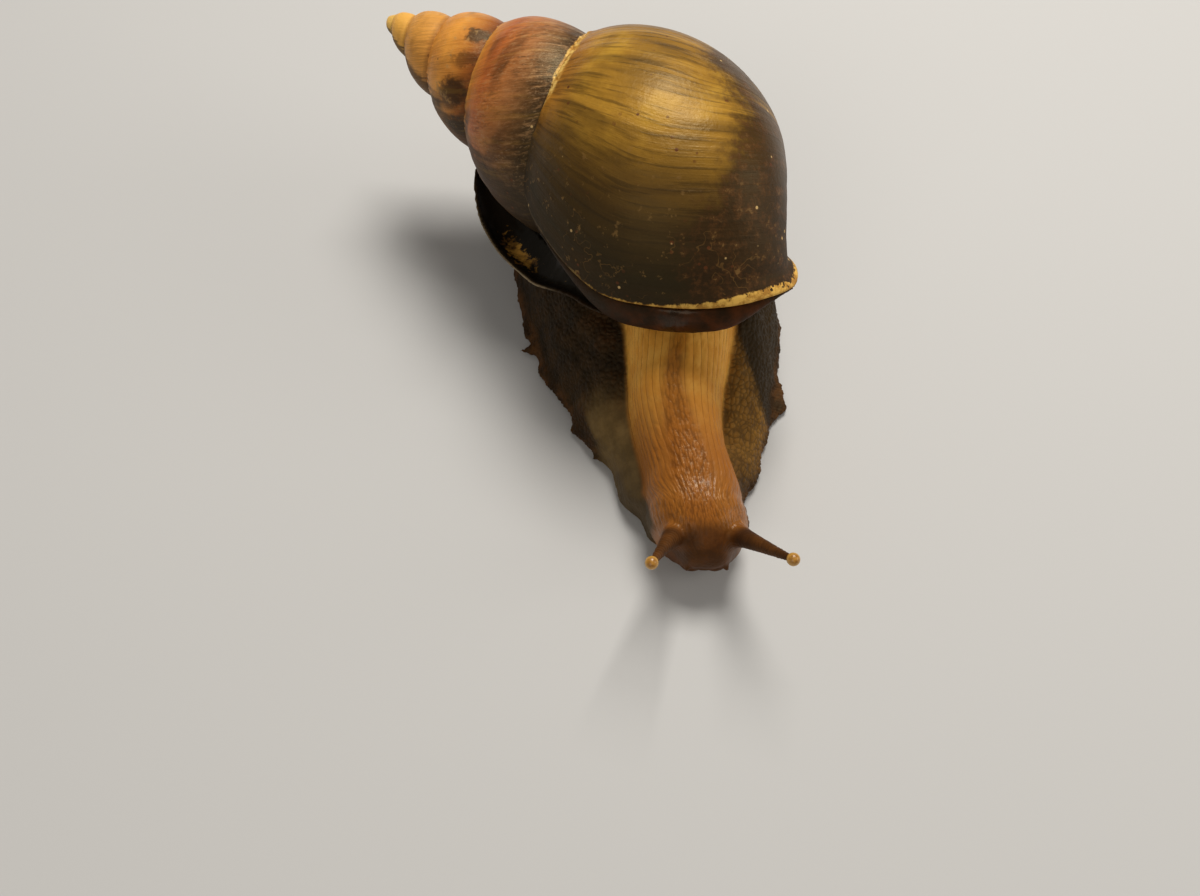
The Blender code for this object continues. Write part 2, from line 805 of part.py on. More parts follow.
def neck_mesh():
    rng = random.Random(SEED + 1)
    rings = []
    for place in stations(NECK_FRONT, FOOT_SPLIT, NECK_STEP):
        half, top = curves["neck_half"](place), curves["neck_top"](place)
        bottom = curves["shoulder"](place) + GAP
        rings.append(body_ring(place, half, top, bottom, 0.0, NECK_RIDGE, rng))
    return loft(rings)


def head_mesh():
    rng = random.Random(SEED + 2)
    rings = []
    start, end = NECK_FRONT - GAP, HEAD_TOP[0][0]
    for i in range(HEAD_RINGS):
        forward = math.sin(math.pi / 2 * i / (HEAD_RINGS - 1))
        place = start + (end - start) * forward
        half, top = curves["head_half"](place), curves["head_top"](place)
        bottom = curves["head_underside"](place)
        waist_share = SNOUT_WAIST * smoothstep(forward * 1.4 - 0.4)
        rings.append(body_ring(place, half, top, bottom, waist_share, NECK_RIDGE * (1 - forward), rng))
    return loft(rings)


def circle(middle, along, radius, count):
    """Points round a direction, starting level with the ground."""
    side = along.cross(Vector((0, 0, 1))).normalized()
    other = along.cross(side)
    turns = [math.tau * i / count for i in range(count)]
    return [middle + (side * math.cos(turn) + other * math.sin(turn)) * radius for turn in turns]


def rod(start, end, radii, count=10, ringing=0.0):
    """A tapered round rod through equally spaced rings."""
    along = (end - start).normalized()
    rings = []
    for i, radius in enumerate(radii):
        middle = start.lerp(end, i / (len(radii) - 1))
        rings.append(circle(middle, along, radius + ringing * (i % 2), count))
    return loft(rings)


def bulb(centre, along, radius, count=12):
    """A round bulb with a small flat where it meets its stalk, which lies back along `along`."""
    rings = []
    for degrees in (-EYE_SEAT, -25, 0, 25, 50, 72):
        angle = math.radians(degrees)
        middle = centre + along * radius * math.sin(angle)
        rings.append(circle(middle, along, radius * math.cos(angle), count))
    return loft(rings)


def blob(name, centre, radii, material=None):
    """A closed ellipsoid."""
    mesh = bpy.data.meshes.new(name)
    work = bmesh.new()
    bmesh.ops.create_icosphere(work, subdivisions=2, radius=1.0)
    sized = Matrix.Translation(centre) @ Matrix.Diagonal((*radii, 1.0))
    bmesh.ops.transform(work, matrix=sized, verts=work.verts)
    work.to_mesh(mesh)
    work.free()
    made = bpy.data.objects.new(name, mesh)
    bpy.context.scene.collection.objects.link(made)
    if material:
        mesh.materials.append(material)
    return made


def add_tentacles(head):
    """Both pairs of tentacles, each on a short boss of the head, and the eyes at the upper tips."""
    bosses, tentacles = [], []
    for side, (root, tip) in UPPER_TENTACLES.items():
        root, tip = Vector(root), Vector(tip)
        along = (tip - root).normalized()
        rise = root + along * BOSS_LENGTH
        boss = rod(root - along * BOSS_DEPTH, rise, taper(BOSS_RADIUS, TENTACLE_ROOT_RADIUS, 4))
        bosses.append(solid("boss", *boss))
        end = tip - along * (EYE_RADIUS * math.sin(math.radians(EYE_SEAT)) + GAP)
        radii = taper(TENTACLE_ROOT_RADIUS, TENTACLE_TIP_RADIUS, 9)
        stalk = rod(rise + along * GAP, end, radii, ringing=TENTACLE_RINGING)
        tentacles.append(solid(f"upper_tentacle_{side}", *stalk, TENTACLE_SKIN))
        solid(f"eye_{side}", *bulb(tip, along, EYE_RADIUS), EYE)
    for side, (root, tip) in LOWER_TENTACLES.items():
        root, tip = Vector(root), Vector(tip)
        along = (tip - root).normalized()
        rise = root + along * LOWER_BOSS_LENGTH
        radii = taper(LOWER_BOSS_RADIUS, LOWER_RADII[0], 3)
        bosses.append(solid("boss", *rod(root - along * LOWER_BOSS_DEPTH, rise, radii, count=8)))
        stalk = rod(rise + along * GAP, tip, LOWER_RADII, count=8)
        tentacles.append(solid(f"lower_tentacle_{side}", *stalk, TENTACLE_SKIN))
    apply_boolean(head, bosses, "UNION", "MANIFOLD")
    keep_largest_surface(head)
    for tentacle in tentacles:
        apply_boolean(tentacle, [grown(head, GAP)], "DIFFERENCE", "MANIFOLD")
        keep_largest_surface(tentacle)


def stand_on_origin():
    """Moves every piece so that the bounding box's middle is over the origin and its foot at z = 0."""
    pieces = bpy.context.scene.objects
    corners = np.array([vertex.co[:] for item in pieces for vertex in item.data.vertices])
    low, high = corners.min(axis=0), corners.max(axis=0)
    moved = Vector((-(low[0] + high[0]) / 2, -(low[1] + high[1]) / 2, -low[2]))
    for item in pieces:
        item.data.transform(Matrix.Translation(moved))
    return moved


clear_scene()
SHELL_HORN = principled("shell_horn", (0.30, 0.17, 0.05), 0.35)
MANTLE = principled("mantle_skin", (0.16, 0.06, 0.03), 0.3)
NECK_SKIN = principled("neck_skin", (0.42, 0.24, 0.10), 0.45)
FOOT_SKIN = principled("foot_skin", (0.07, 0.05, 0.035), 0.55)
HEAD_SKIN = principled("head_skin", (0.16, 0.08, 0.035), 0.5)
TENTACLE_SKIN = principled("tentacle_skin", (0.18, 0.09, 0.04), 0.45)
EYE = principled("eye_bulb", (0.60, 0.42, 0.12), 0.3)

curves = {
    "lip_line": smooth_curve(LIP_LINE),
    "foot_right": smooth_curve(FOOT_RIGHT_EDGE),
    "foot_left": smooth_curve(FOOT_LEFT_EDGE),
    "shoulder": smooth_curve(SHOULDER_HEIGHT),
    "crown": smooth_curve(CROWN_HEIGHT),
    "neck_centre": smooth_curve(NECK_CENTRE),
    "neck_half": smooth_curve(NECK_HALF_WIDTH),
    "neck_top": smooth_curve(NECK_TOP),
    "head_half": smooth_curve(HEAD_HALF_WIDTH),
    "head_top": smooth_curve(HEAD_TOP),
    "head_underside": smooth_curve(HEAD_UNDERSIDE),
}

shell = solid("shell", *shell_mesh(True), SHELL_HORN)
filled_shell = solid("filled_shell", *shell_mesh(False))
shell_clearance = grown(filled_shell, GAP)
bpy.data.objects.remove(filled_shell, do_unlink=True)

collar = solid("mantle_collar", *collar_mesh(), MANTLE)
lobe = solid("lobe", *lobe_mesh())
apply_boolean(lobe, [grown(shell_clearance, 0.0)], "DIFFERENCE")
keep_largest_surface(lobe)
apply_boolean(collar, [lobe], "UNION")
apply_boolean(collar, [grown(shell, GAP / 2)], "DIFFERENCE", "MANIFOLD")
keep_largest_surface(collar)
collar_clearance = grown(collar, GAP)

front = foot_piece("foot_front", FOOT_FRONT, FOOT_SPLIT, False)
middle = foot_piece("foot_middle", FOOT_SPLIT + GAP, TAIL_SPLIT, True)
tail = foot_piece("tail", TAIL_SPLIT + GAP, TAIL_TIP, True)
neck = solid("neck", *neck_mesh(), NECK_SKIN)
head = solid("head", *head_mesh(), HEAD_SKIN)

for piece in (front, middle, tail, neck):
    apply_boolean(piece, [grown(shell_clearance, 0.0), grown(collar_clearance, 0.0)], "DIFFERENCE")
    keep_largest_surface(piece)
apply_boolean(middle, [grown(shell, GAP)], "DIFFERENCE", "MANIFOLD")
keep_largest_surface(middle)
bpy.data.objects.remove(shell_clearance, do_unlink=True)
bpy.data.objects.remove(collar_clearance, do_unlink=True)

lips = blob("lips", *LIP_LOBES[0], HEAD_SKIN)
apply_boolean(lips, [blob("lobe", *shape) for shape in LIP_LOBES[1:]], "UNION")
keep_largest_surface(lips)
apply_boolean(head, [grown(lips, GAP), grown(front, GAP)], "DIFFERENCE", "MANIFOLD")
keep_largest_surface(head)
add_tentacles(head)

MOVED = stand_on_origin()
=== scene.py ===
import math

import bmesh
import bpy
import numpy as np
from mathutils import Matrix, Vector
from mathutils.bvhtree import BVHTree


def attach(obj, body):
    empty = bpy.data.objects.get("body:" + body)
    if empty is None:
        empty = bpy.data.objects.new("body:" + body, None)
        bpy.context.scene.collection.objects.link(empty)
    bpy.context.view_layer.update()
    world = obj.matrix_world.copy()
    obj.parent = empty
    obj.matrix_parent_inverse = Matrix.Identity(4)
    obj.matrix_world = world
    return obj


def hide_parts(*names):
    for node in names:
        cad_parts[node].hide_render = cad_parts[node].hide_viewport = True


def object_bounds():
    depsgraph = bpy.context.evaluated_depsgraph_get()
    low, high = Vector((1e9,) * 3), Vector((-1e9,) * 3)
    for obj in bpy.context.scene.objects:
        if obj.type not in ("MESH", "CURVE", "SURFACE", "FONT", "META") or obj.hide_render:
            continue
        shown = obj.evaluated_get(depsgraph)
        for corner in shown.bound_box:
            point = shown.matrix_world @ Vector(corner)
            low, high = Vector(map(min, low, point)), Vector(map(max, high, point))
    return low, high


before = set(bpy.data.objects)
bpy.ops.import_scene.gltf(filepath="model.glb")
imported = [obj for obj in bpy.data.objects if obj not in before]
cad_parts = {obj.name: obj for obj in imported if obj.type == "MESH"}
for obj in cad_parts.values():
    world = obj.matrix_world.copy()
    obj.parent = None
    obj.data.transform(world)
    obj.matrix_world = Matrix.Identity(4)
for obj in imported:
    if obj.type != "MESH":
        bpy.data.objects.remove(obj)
cad_low, cad_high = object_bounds()


# Ground, lights and camera
# A plain matt ground carries the model, which is seen from in front and above. The light is one
# large soft sheet overhead, with two weaker ones: in front, and at the right of the picture.
FLOOR_COLOUR = (0.60, 0.61, 0.63, 1.0)
FLOOR_ROUGHNESS = 0.8
FLOOR_SIZE = 6.0
# The solids are moved by this much from the lines that they are drawn on, to stand over the origin.
MOVED = Vector((0.00245873, 0.00443720, 0.0))
CAMERA_PLACE = Vector((0.0, -0.180, 0.225))
CAMERA_TILT = math.radians(30)
CAMERA_LENS = 33.9
CAMERA_NEAREST = 0.005
SENSOR_WIDTH = 36.0
ROOM_COLOUR = (1.0, 0.93, 0.83, 1.0)
ROOM_LIGHT = 0.16
LAMP_COLOUR = (1.0, 0.94, 0.84)
LAMPS = (
    ("overhead", (0.14, 0.40, 0.80), 0.36, 7.4),
    ("front_fill", (-0.35, -0.75, 0.60), 0.60, 1.5),
    ("right_fill", (0.75, -0.10, 0.35), 0.40, 1.2),
)


class Wire:
    """The output of a shader node. Sums, products and powers of it add Math nodes."""

    def __init__(self, finish, socket):
        self.finish = finish
        self.socket = socket

    def maths(self, operation, first, second):
        return self.finish.node("ShaderNodeMath", {"operation": operation}, {0: first, 1: second})

    def __add__(self, other):
        return self.maths("ADD", self, other)

    __radd__ = __add__

    def __sub__(self, other):
        return self.maths("SUBTRACT", self, other)

    def __rsub__(self, other):
        return self.maths("SUBTRACT", other, self)

    def __mul__(self, other):
        return self.maths("MULTIPLY", self, other)

    __rmul__ = __mul__

    def __pow__(self, other):
        return self.maths("POWER", self, other)


class Finish:
    """A surface finish, made of one principled shader and the nodes that feed it."""

    def __init__(self, name):
        self.material = bpy.data.materials.new(name)
        self.material.use_nodes = True
        self.tree = self.material.node_tree
        self.shader = self.tree.nodes["Principled BSDF"]

    def node(self, kind, settings, sockets, output=0):
        """Adds a node: its settings first, then the values and links of its sockets."""
        made = self.tree.nodes.new(kind)
        for key, value in settings.items():
            if key == "stops":
                elements = made.color_ramp.elements
                elements.remove(elements[1])
                elements[0].position = value[0][0]
                elements[0].color = (*value[0][1], 1.0)
                for stop, colour in value[1:]:
                    elements.new(stop).color = (*colour, 1.0)
            else:
                setattr(made, key, value)
        for key, value in sockets.items():
            self.feed(made.inputs[key], value)
        return Wire(self, made.outputs[output])

    def feed(self, socket, value):
        if isinstance(value, Wire):
            self.tree.links.new(value.socket, socket)
        elif isinstance(value, tuple) and len(value) == 3 and socket.type == "RGBA":
            socket.default_value = (*value, 1.0)
        else:
            socket.default_value = value

    def surface(self, **values):
        for key, value in values.items():
            self.feed(self.shader.inputs[key.replace("_", " ")], value)

    def attribute(self, name):
        """A number that the mesh holds for each of its points."""
        return self.node("ShaderNodeAttribute", {"attribute_name": name}, {}, "Fac")

    def place(self):
        return self.node("ShaderNodeTexCoord", {}, {}, "Object")

    def stretched(self, vector, scale):
        return self.node("ShaderNodeVectorMath", {"operation": "MULTIPLY"}, {0: vector, 1: scale})

    def noise(self, vector, scale, detail=3.0, roughness=0.5):
        sockets = {"Vector": vector, "Scale": scale, "Detail": detail, "Roughness": roughness}
        return self.node("ShaderNodeTexNoise", {}, sockets, "Fac")

    def cells(self, vector, scale):
        """The distance to the nearest of many scattered points."""
        return self.node("ShaderNodeTexVoronoi", {}, {"Vector": vector, "Scale": scale}, "Distance")

    def between(self, value, low, high):
        """0 below `low`, 1 above `high`, and a smooth step from one to the other."""
        sockets = {"Value": value, "From Min": low, "From Max": high}
        return self.node("ShaderNodeMapRange", {"interpolation_type": "SMOOTHSTEP"}, sockets)

    def mix(self, share, first, second):
        return self.node("ShaderNodeMix", {"data_type": "RGBA"}, {0: share, 6: first, 7: second}, 2)

    def layered(self, colour, *layers):
        """A colour under thin layers of others, each given as its share and its own colour."""
        for share, layer in layers:
            colour = self.mix(share, colour, layer)
        return colour

    def ramp(self, value, stops):
        return self.node("ShaderNodeValToRGB", {"stops": stops}, {"Fac": value})

    def bump(self, height, distance, strength):
        sockets = {"Height": height, "Distance": distance, "Strength": strength}
        return self.node("ShaderNodeBump", {}, sockets)


def srgb(red, green, blue):
    """A colour given as a display shows it, from 0 to 255, in the linear numbers that light works in."""
    shares = (red / 255, green / 255, blue / 255)
    return tuple(c / 12.92 if c <= 0.04045 else ((c + 0.055) / 1.055) ** 2.4 for c in shares)


table_finish = Finish("plain_table")
table_finish.surface(Base_Color=FLOOR_COLOUR, Roughness=FLOOR_ROUGHNESS)
bpy.ops.mesh.primitive_plane_add(size=FLOOR_SIZE)
table_top = bpy.context.object
table_top.name = "plain_table"
table_top.data.materials.append(table_finish.material)

view = bpy.data.objects.new("camera", bpy.data.cameras.new("camera"))
bpy.context.scene.collection.objects.link(view)
view.location = CAMERA_PLACE + MOVED
view.rotation_euler = (CAMERA_TILT, 0.0, 0.0)
view.data.lens = CAMERA_LENS
view.data.sensor_width = SENSOR_WIDTH
view.data.clip_start = CAMERA_NEAREST
bpy.context.scene.camera = view

room = bpy.data.worlds.new("room")
bpy.context.scene.world = room
room.use_nodes = True
backdrop = room.node_tree.nodes["Background"]
backdrop.inputs["Color"].default_value = ROOM_COLOUR
backdrop.inputs["Strength"].default_value = ROOM_LIGHT
bpy.context.scene.view_settings.view_transform = "Standard"

for name, place, size, power in LAMPS:
    lamp = bpy.data.lights.new(name, "AREA")
    lamp.size = size
    lamp.energy = power
    lamp.color = LAMP_COLOUR
    holder = bpy.data.objects.new(name, lamp)
    holder.location = place
    holder.rotation_euler = (-Vector(place)).to_track_quat("-Z", "Y").to_euler()
    bpy.context.scene.collection.objects.link(holder)


# Shell
# One spiral tube of horn and lime that grew at its lip, line by line, round a twisted column. Each
# whorl is glued to the one before it along the suture, where a crust of old lime and skin has dried.
SHELL_LENGTH = 0.118
# Turns of the spiral count from 0 at the lip and are negative behind it. A place across a whorl is
# 0 at its upper suture and 1 where the next whorl covers it.
WHORL_GROWTH = 1.544
WHORL_OFFSET = 0.01205
WHORL_HALF_WIDTH = 0.02325
WHORL_HALF_LENGTH = 0.0332
APEX_OFFSET = 0.0076
APEX_SOFTNESS = 0.0010
APEX_SLIMMING = 0.32
APEX_SLIM_FROM = 2.7
APEX_SLIM_TURNS = 2.3
WHORLS = 5.4
STATIONS_PER_TURN = 360
COLUMELLA_RADIUS = 0.0036
COLUMELLA_END = SHELL_LENGTH - 0.010
SPIRE_SEGMENTS = 40
WHORL_BASE_SEGMENTS = 34
COLUMELLA_SEGMENTS = 10
SHELL_APEX = Vector((-0.0499, 0.0408, 0.0448))
SHELL_TURN_BACK = math.radians(33.4)
SHELL_APEX_LIFT = math.radians(7.6)
SHELL_ROLL = math.radians(82.6)
LIP_LINE = (
    (-0.70, 0.0),
    (-0.26, -0.034),
    (-0.09, -0.040),
    (0.09, -0.002),
    (0.26, 0.055),
    (0.44, 0.117),
    (0.61, 0.175),
    (0.79, 0.240),
    (0.96, 0.305),
    (1.13, 0.374),
    (1.31, 0.430),
    (1.57, 0.515),
    (1.75, 0.690),
    (1.92, 0.850),
)
LIP_LINE_TURNS = 0.35
OLD_LINE_RETREAT = 0.55
OLD_LINE_SLANT = 0.27
SPIRE_LINE_SLANT = 0.25
SPIRE_SLANT_FROM = 0.4
SPIRE_SLANT_OVER = 0.8
SLANT_PIVOT = 0.9
LIP_THICKNESS = 0.0013
LIP_FLARE = 0.0022
LIP_FLARE_TURNS = 0.03
MOUTH_BACK_INSET = 0.0002
MOUTH_INSET_SHARE = 0.30
MOUTH_INSET_GAIN = 0.10
MOUTH_CORNER_SHARE = 0.5
MOUTH_CORNER_GAIN = 0.2
APERTURE_TURNS = (0.0, -0.008, -0.02, -0.035, -0.055, -0.08, -0.10)
APERTURE_END = -0.107
BAND_TAPER = 0.75
BAND_TAPER_FROM = 0.80
BAND_TAPER_OVER = 0.55
BAND_START = -0.60
BAND_START_OVER = 0.70
# Each set of growth lines has its spacing in turns, its height against the finest, its wander, and
# the seed of its random lumps.
GROWTH_LINE = 0.00011
GROWTH_LINE_SETS = (
    (0.0075, 1.0, 0.006, 1),
    (0.021, 0.8, -0.006, 2),
    (0.07, 0.5, 0.0, 3),
)
LINE_WANDER_WIDTH = 0.31
DENT_DEPTH = 0.00022
SUTURE_CRUST = 0.0006
CRUST_WIDTH = 0.055
CRUST_WIDTH_CHANGE = 0.02
CRUST_EVENNESS = 0.75
CRUST_LUMPS = ((0.5, 0.011, 6), (0.3, 0.005, 7))
SUTURE_SMOOTH_WIDTH = 0.03
APEX_OPENING_TURNS = 0.5
BASE_FADE_POINTS = 3
COLUMELLA_TIP = 2.0
INSIDE_MOUTH = 3.0
LUMPS_IN_TABLE = 4096
SUTURE_SEARCHES = 40


def smoothstep(value):
    value = np.clip(value, 0.0, 1.0)
    return value * value * (3 - 2 * value)


def blend(value, start, end):
    """0 up to `start`, 1 past `end`, which may be the lower one, and a smooth step between them."""
    return smoothstep((value - start) / (end - start))


def curve(pairs):
    """A smooth function through (place, value) pairs, level past both ends."""
    places = np.array([place for place, _ in pairs])
    values = np.array([value for _, value in pairs])
    slopes = np.gradient(values, places)

    def at(place):
        place = np.clip(place, places[0], places[-1])
        i = np.clip(np.searchsorted(places, place, side="right") - 1, 0, len(places) - 2)
        width = places[i + 1] - places[i]
        t = (place - places[i]) / width
        return (
            values[i] * (1 + 2 * t) * (1 - t) ** 2
            + slopes[i] * width * t * (1 - t) ** 2
            + values[i + 1] * t * t * (3 - 2 * t)
            + slopes[i + 1] * width * t * t * (t - 1)
        )

    return at


lip_line = curve(LIP_LINE)


def lumps(places, size, seed):
    """Smooth random values from -1 to 1 along a line, one lump for each `size` of it."""
    spots = np.asarray(places) / size
    low = np.floor(spots).astype(np.int64)
    part = smoothstep(spots - low)
    table = np.random.default_rng(seed).uniform(-1, 1, LUMPS_IN_TABLE)
    return table[low % LUMPS_IN_TABLE] * (1 - part) + table[(low + 1) % LUMPS_IN_TABLE] * part


def whorl(turn):
    """Section of the whorl: radius and height of its centre, half width, half length."""
    size = WHORL_GROWTH**turn
    half_length = WHORL_HALF_LENGTH * size
    height = (SHELL_LENGTH - WHORL_HALF_LENGTH + APEX_OFFSET) * size - APEX_OFFSET
    top = APEX_SOFTNESS * np.logaddexp(0.0, (height - half_length) / APEX_SOFTNESS)
    wide = size * (1 - APEX_SLIMMING * smoothstep((-turn - APEX_SLIM_FROM) / APEX_SLIM_TURNS))
    return WHORL_OFFSET * wide, top + half_length, WHORL_HALF_WIDTH * wide, half_length


def on_whorl(turn, angle):
    """(radius, height) of a point of the whorl's outline, from -90 degrees at its top."""
    centre, height, half_width, half_length = whorl(turn)
    return centre + half_width * np.cos(angle), height + half_length * np.sin(angle)


def suture_angle(turn):
    """Where this whorl's outline leaves the whorl before it."""
    centre, height, half_width, half_length = whorl(turn - 1)
    inside, outside = -math.pi / 2, 0.0
    for _ in range(SUTURE_SEARCHES):
        middle = (inside + outside) / 2
        radius, place = on_whorl(turn, middle)
        if ((radius - centre) / half_width) ** 2 + ((place - height) / half_length) ** 2 > 1:
            outside = middle
        else:
            inside = middle
    return outside


def covered_angle(turn):
    """Where the next whorl covers this whorl's outline."""
    radius, place = on_whorl(turn + 1, suture_angle(turn + 1))
    centre, height, half_width, half_length = whorl(turn)
    return math.atan2((place - height) / half_length, (radius - centre) / half_width)


def growth_age(turn, angles):
    """The turn at which the lip, drawn back as it is now, laid down these points of the outline."""
    ramp = smoothstep(1 + turn / LIP_LINE_TURNS)
    on_spire = float(smoothstep((-SPIRE_SLANT_FROM - turn) / SPIRE_SLANT_OVER))
    slant = OLD_LINE_SLANT + SPIRE_LINE_SLANT * on_spire
    drawn_back = OLD_LINE_RETREAT * smoothstep(angles / (math.pi / 2)) + slant * (angles + SLANT_PIVOT)
    return turn + drawn_back * (1 - ramp) / math.tau


def growth_places(turn, angles):
    """Radius, height and angle about the axis of points of the growing edge, one row each."""
    ramp = smoothstep(1 + turn / LIP_LINE_TURNS)
    taper = BAND_TAPER * smoothstep((angles - BAND_TAPER_FROM) / BAND_TAPER_OVER)
    taper += BAND_TAPER * (1 - smoothstep((angles - BAND_START) / BAND_START_OVER))
    shift = -ramp * lip_line(angles) - max(0.0, turn) * math.tau * taper
    radius, height = on_whorl(turn + shift / math.tau, angles)
    flare = LIP_FLARE * smoothstep(1 + turn / LIP_FLARE_TURNS) * np.maximum(0.0, np.sin(angles)) ** 2
    radius = radius + flare * np.cos(angles)
    height = height + flare * np.sin(angles)
    return np.stack([radius, height, turn * math.tau + shift], axis=1)


SPIRE_PARTS = 0.5 - 0.5 * np.cos(np.linspace(0, math.pi, SPIRE_SEGMENTS + 1))


def spire_row(turn):
    """The stretch of a growth line that the next whorl leaves free, closest set by the sutures."""
    start, end = suture_angle(turn), covered_angle(turn)
    return growth_places(turn, start + (end - start) * SPIRE_PARTS)


def column_angle(turn):
    """Where this whorl's outline meets the columella."""
    centre, _, half_width, _ = whorl(turn)
    return math.acos((COLUMELLA_RADIUS - centre) / half_width)


def base_row(turn):
    """The rest of a growth line, round the base of the shell and along the columella to its end."""
    angles = np.linspace(covered_angle(turn), column_angle(turn), WHORL_BASE_SEGMENTS + 1)
    row = growth_places(turn, angles)
    radius, height, turned = row[-1]
    part = np.arange(1, COLUMELLA_SEGMENTS + 1) / COLUMELLA_SEGMENTS
    column = [
        radius * np.sqrt(1 - part**4),
        height + (COLUMELLA_END - height) * part,
        turned + (turn * math.tau - turned) * part,
    ]
    return np.concatenate([row, np.stack(column, axis=1)])


def shell_axes():
    """Unit vectors of the shell: from apex to base, towards the lip, and the way it grows."""
    back, lift = SHELL_TURN_BACK, SHELL_APEX_LIFT
    to_apex = Vector((-math.cos(back) * math.cos(lift), math.sin(back) * math.cos(lift), math.sin(lift)))
    down = -to_apex
    above = (Vector((0, 0, 1)) - down * down.z).normalized()
    to_lip = math.cos(SHELL_ROLL) * above + math.sin(SHELL_ROLL) * down.cross(above)
    return down, to_lip, down.cross(to_lip)


def shell_points(places):
    """Points in space of rows of (radius, height, angle)."""
    places = np.asarray(places)
    down, to_lip, growing = (np.array(axis) for axis in shell_axes())
    out = np.cos(places[:, 2:]) * to_lip + np.sin(places[:, 2:]) * growing
    return np.array(SHELL_APEX + MOVED) + down * places[:, 1:2] + out * places[:, :1]


def aperture_loop(turn, outer_inset, inner_inset):
    """Closed loop round the tube of the whorl, set in from the outer wall and from the wall behind."""
    outer = np.concatenate([spire_row(turn)[:-1], base_row(turn)])
    inner = base_row(turn - 1) + (0.0, 0.0, math.tau)

    def partner(row, part):
        place = part * (len(row) - 1)
        low = min(int(place), len(row) - 2)
        return row[low] + (row[low + 1] - row[low]) * (place - low)

    def moved(row, other, i, inset, side):
        mate = partner(other, i / (len(row) - 1))
        width = math.hypot(*(mate - row[i])[:2])
        along = row[i + 1] - row[i - 1]
        across = np.array((-along[1], along[0], 0.0)) * side / math.hypot(along[0], along[1])
        share = MOUTH_INSET_SHARE + MOUTH_INSET_GAIN * min(1.0, inset / (2 * LIP_THICKNESS))
        return row[i] + across * min(inset, share * width)

    sides = [moved(outer, inner, i, outer_inset, 1) for i in range(1, len(outer) - 1)]
    backs = [moved(inner, outer, i, inner_inset, -1) for i in range(len(inner) - 2, 0, -1)]
    corner = MOUTH_CORNER_SHARE + MOUTH_CORNER_GAIN * min(1.0, outer_inset / (2 * LIP_THICKNESS))
    first = outer[0] + ((sides[0] + backs[-1]) / 2 - outer[0]) * corner
    last = outer[-1] + ((sides[-1] + backs[0]) / 2 - outer[-1]) * corner
    return [first] + sides + [last] + backs


def cap(loop):
    """Triangles across a loop of point numbers, from its outer side to the side that runs back."""
    bend = SPIRE_SEGMENTS + WHORL_BASE_SEGMENTS + COLUMELLA_SEGMENTS
    outer, inner = 0, len(loop) - 1
    triangles = []
    while outer < bend or inner > bend + 1:
        behind = outer / bend <= (len(loop) - 1 - inner) / (len(loop) - 2 - bend)
        if outer < bend and (behind or inner == bend + 1):
            triangles.append((loop[outer], loop[outer + 1], loop[inner]))
            outer += 1
        else:
            triangles.append((loop[outer], loop[inner - 1], loop[inner]))
            inner -= 1
    return triangles


def ring_strip(first, second, count):
    """Faces between two closed rings, given by the index of their first points."""
    return [(first + i, first + (i + 1) % count, second + (i + 1) % count, second + i) for i in range(count)]


def mesh_object(name, points, faces):
    """A mesh object with smooth faces that point out."""
    mesh = bpy.data.meshes.new(name)
    mesh.from_pydata([tuple(point) for point in points], [], faces)
    work = bmesh.new()
    work.from_mesh(mesh)
    bmesh.ops.recalc_face_normals(work, faces=work.faces)
    if work.calc_volume(signed=True) < 0:
        bmesh.ops.reverse_faces(work, faces=work.faces)
    work.to_mesh(mesh)
    work.free()
    mesh.shade_smooth()
    made = bpy.data.objects.new(name, mesh)
    bpy.context.scene.collection.objects.link(made)
    return made


def growth_relief(turn, part):
    """How far the worn growth lines and the crust of the suture stand out from a smooth whorl."""
    bend = lumps(part, LINE_WANDER_WIDTH, 5)
    lines = 0.0
    for spacing, height, wander, seed in GROWTH_LINE_SETS:
        lines = lines + height * lumps(turn + wander * bend, spacing, seed)
    crust_width = CRUST_WIDTH + CRUST_WIDTH_CHANGE * lumps(turn, 0.03, 4)
    crust = np.exp(-((part / crust_width) ** 2))
    crust *= CRUST_EVENNESS + sum(height * lumps(turn, size, seed) for height, size, seed in CRUST_LUMPS)
    dents = lumps(part + 3 * turn, 0.22, 8) * lumps(turn, 0.05, 9)
    scale = np.clip(part / SUTURE_SMOOTH_WIDTH, 0, 1) * WHORL_GROWTH**turn
    return scale * (GROWTH_LINE * lines + DENT_DEPTH * dents) + scale * SUTURE_CRUST * crust


def raised(row, relief):
    """A row of (radius, height, angle), pushed out from the wall by the relief at each point."""
    along = np.gradient(row, axis=0)
    length = np.hypot(along[:, 0], along[:, 1])
    row[:, 0] += relief * along[:, 1] / length
    row[:, 1] -= relief * along[:, 0] / length
    return row


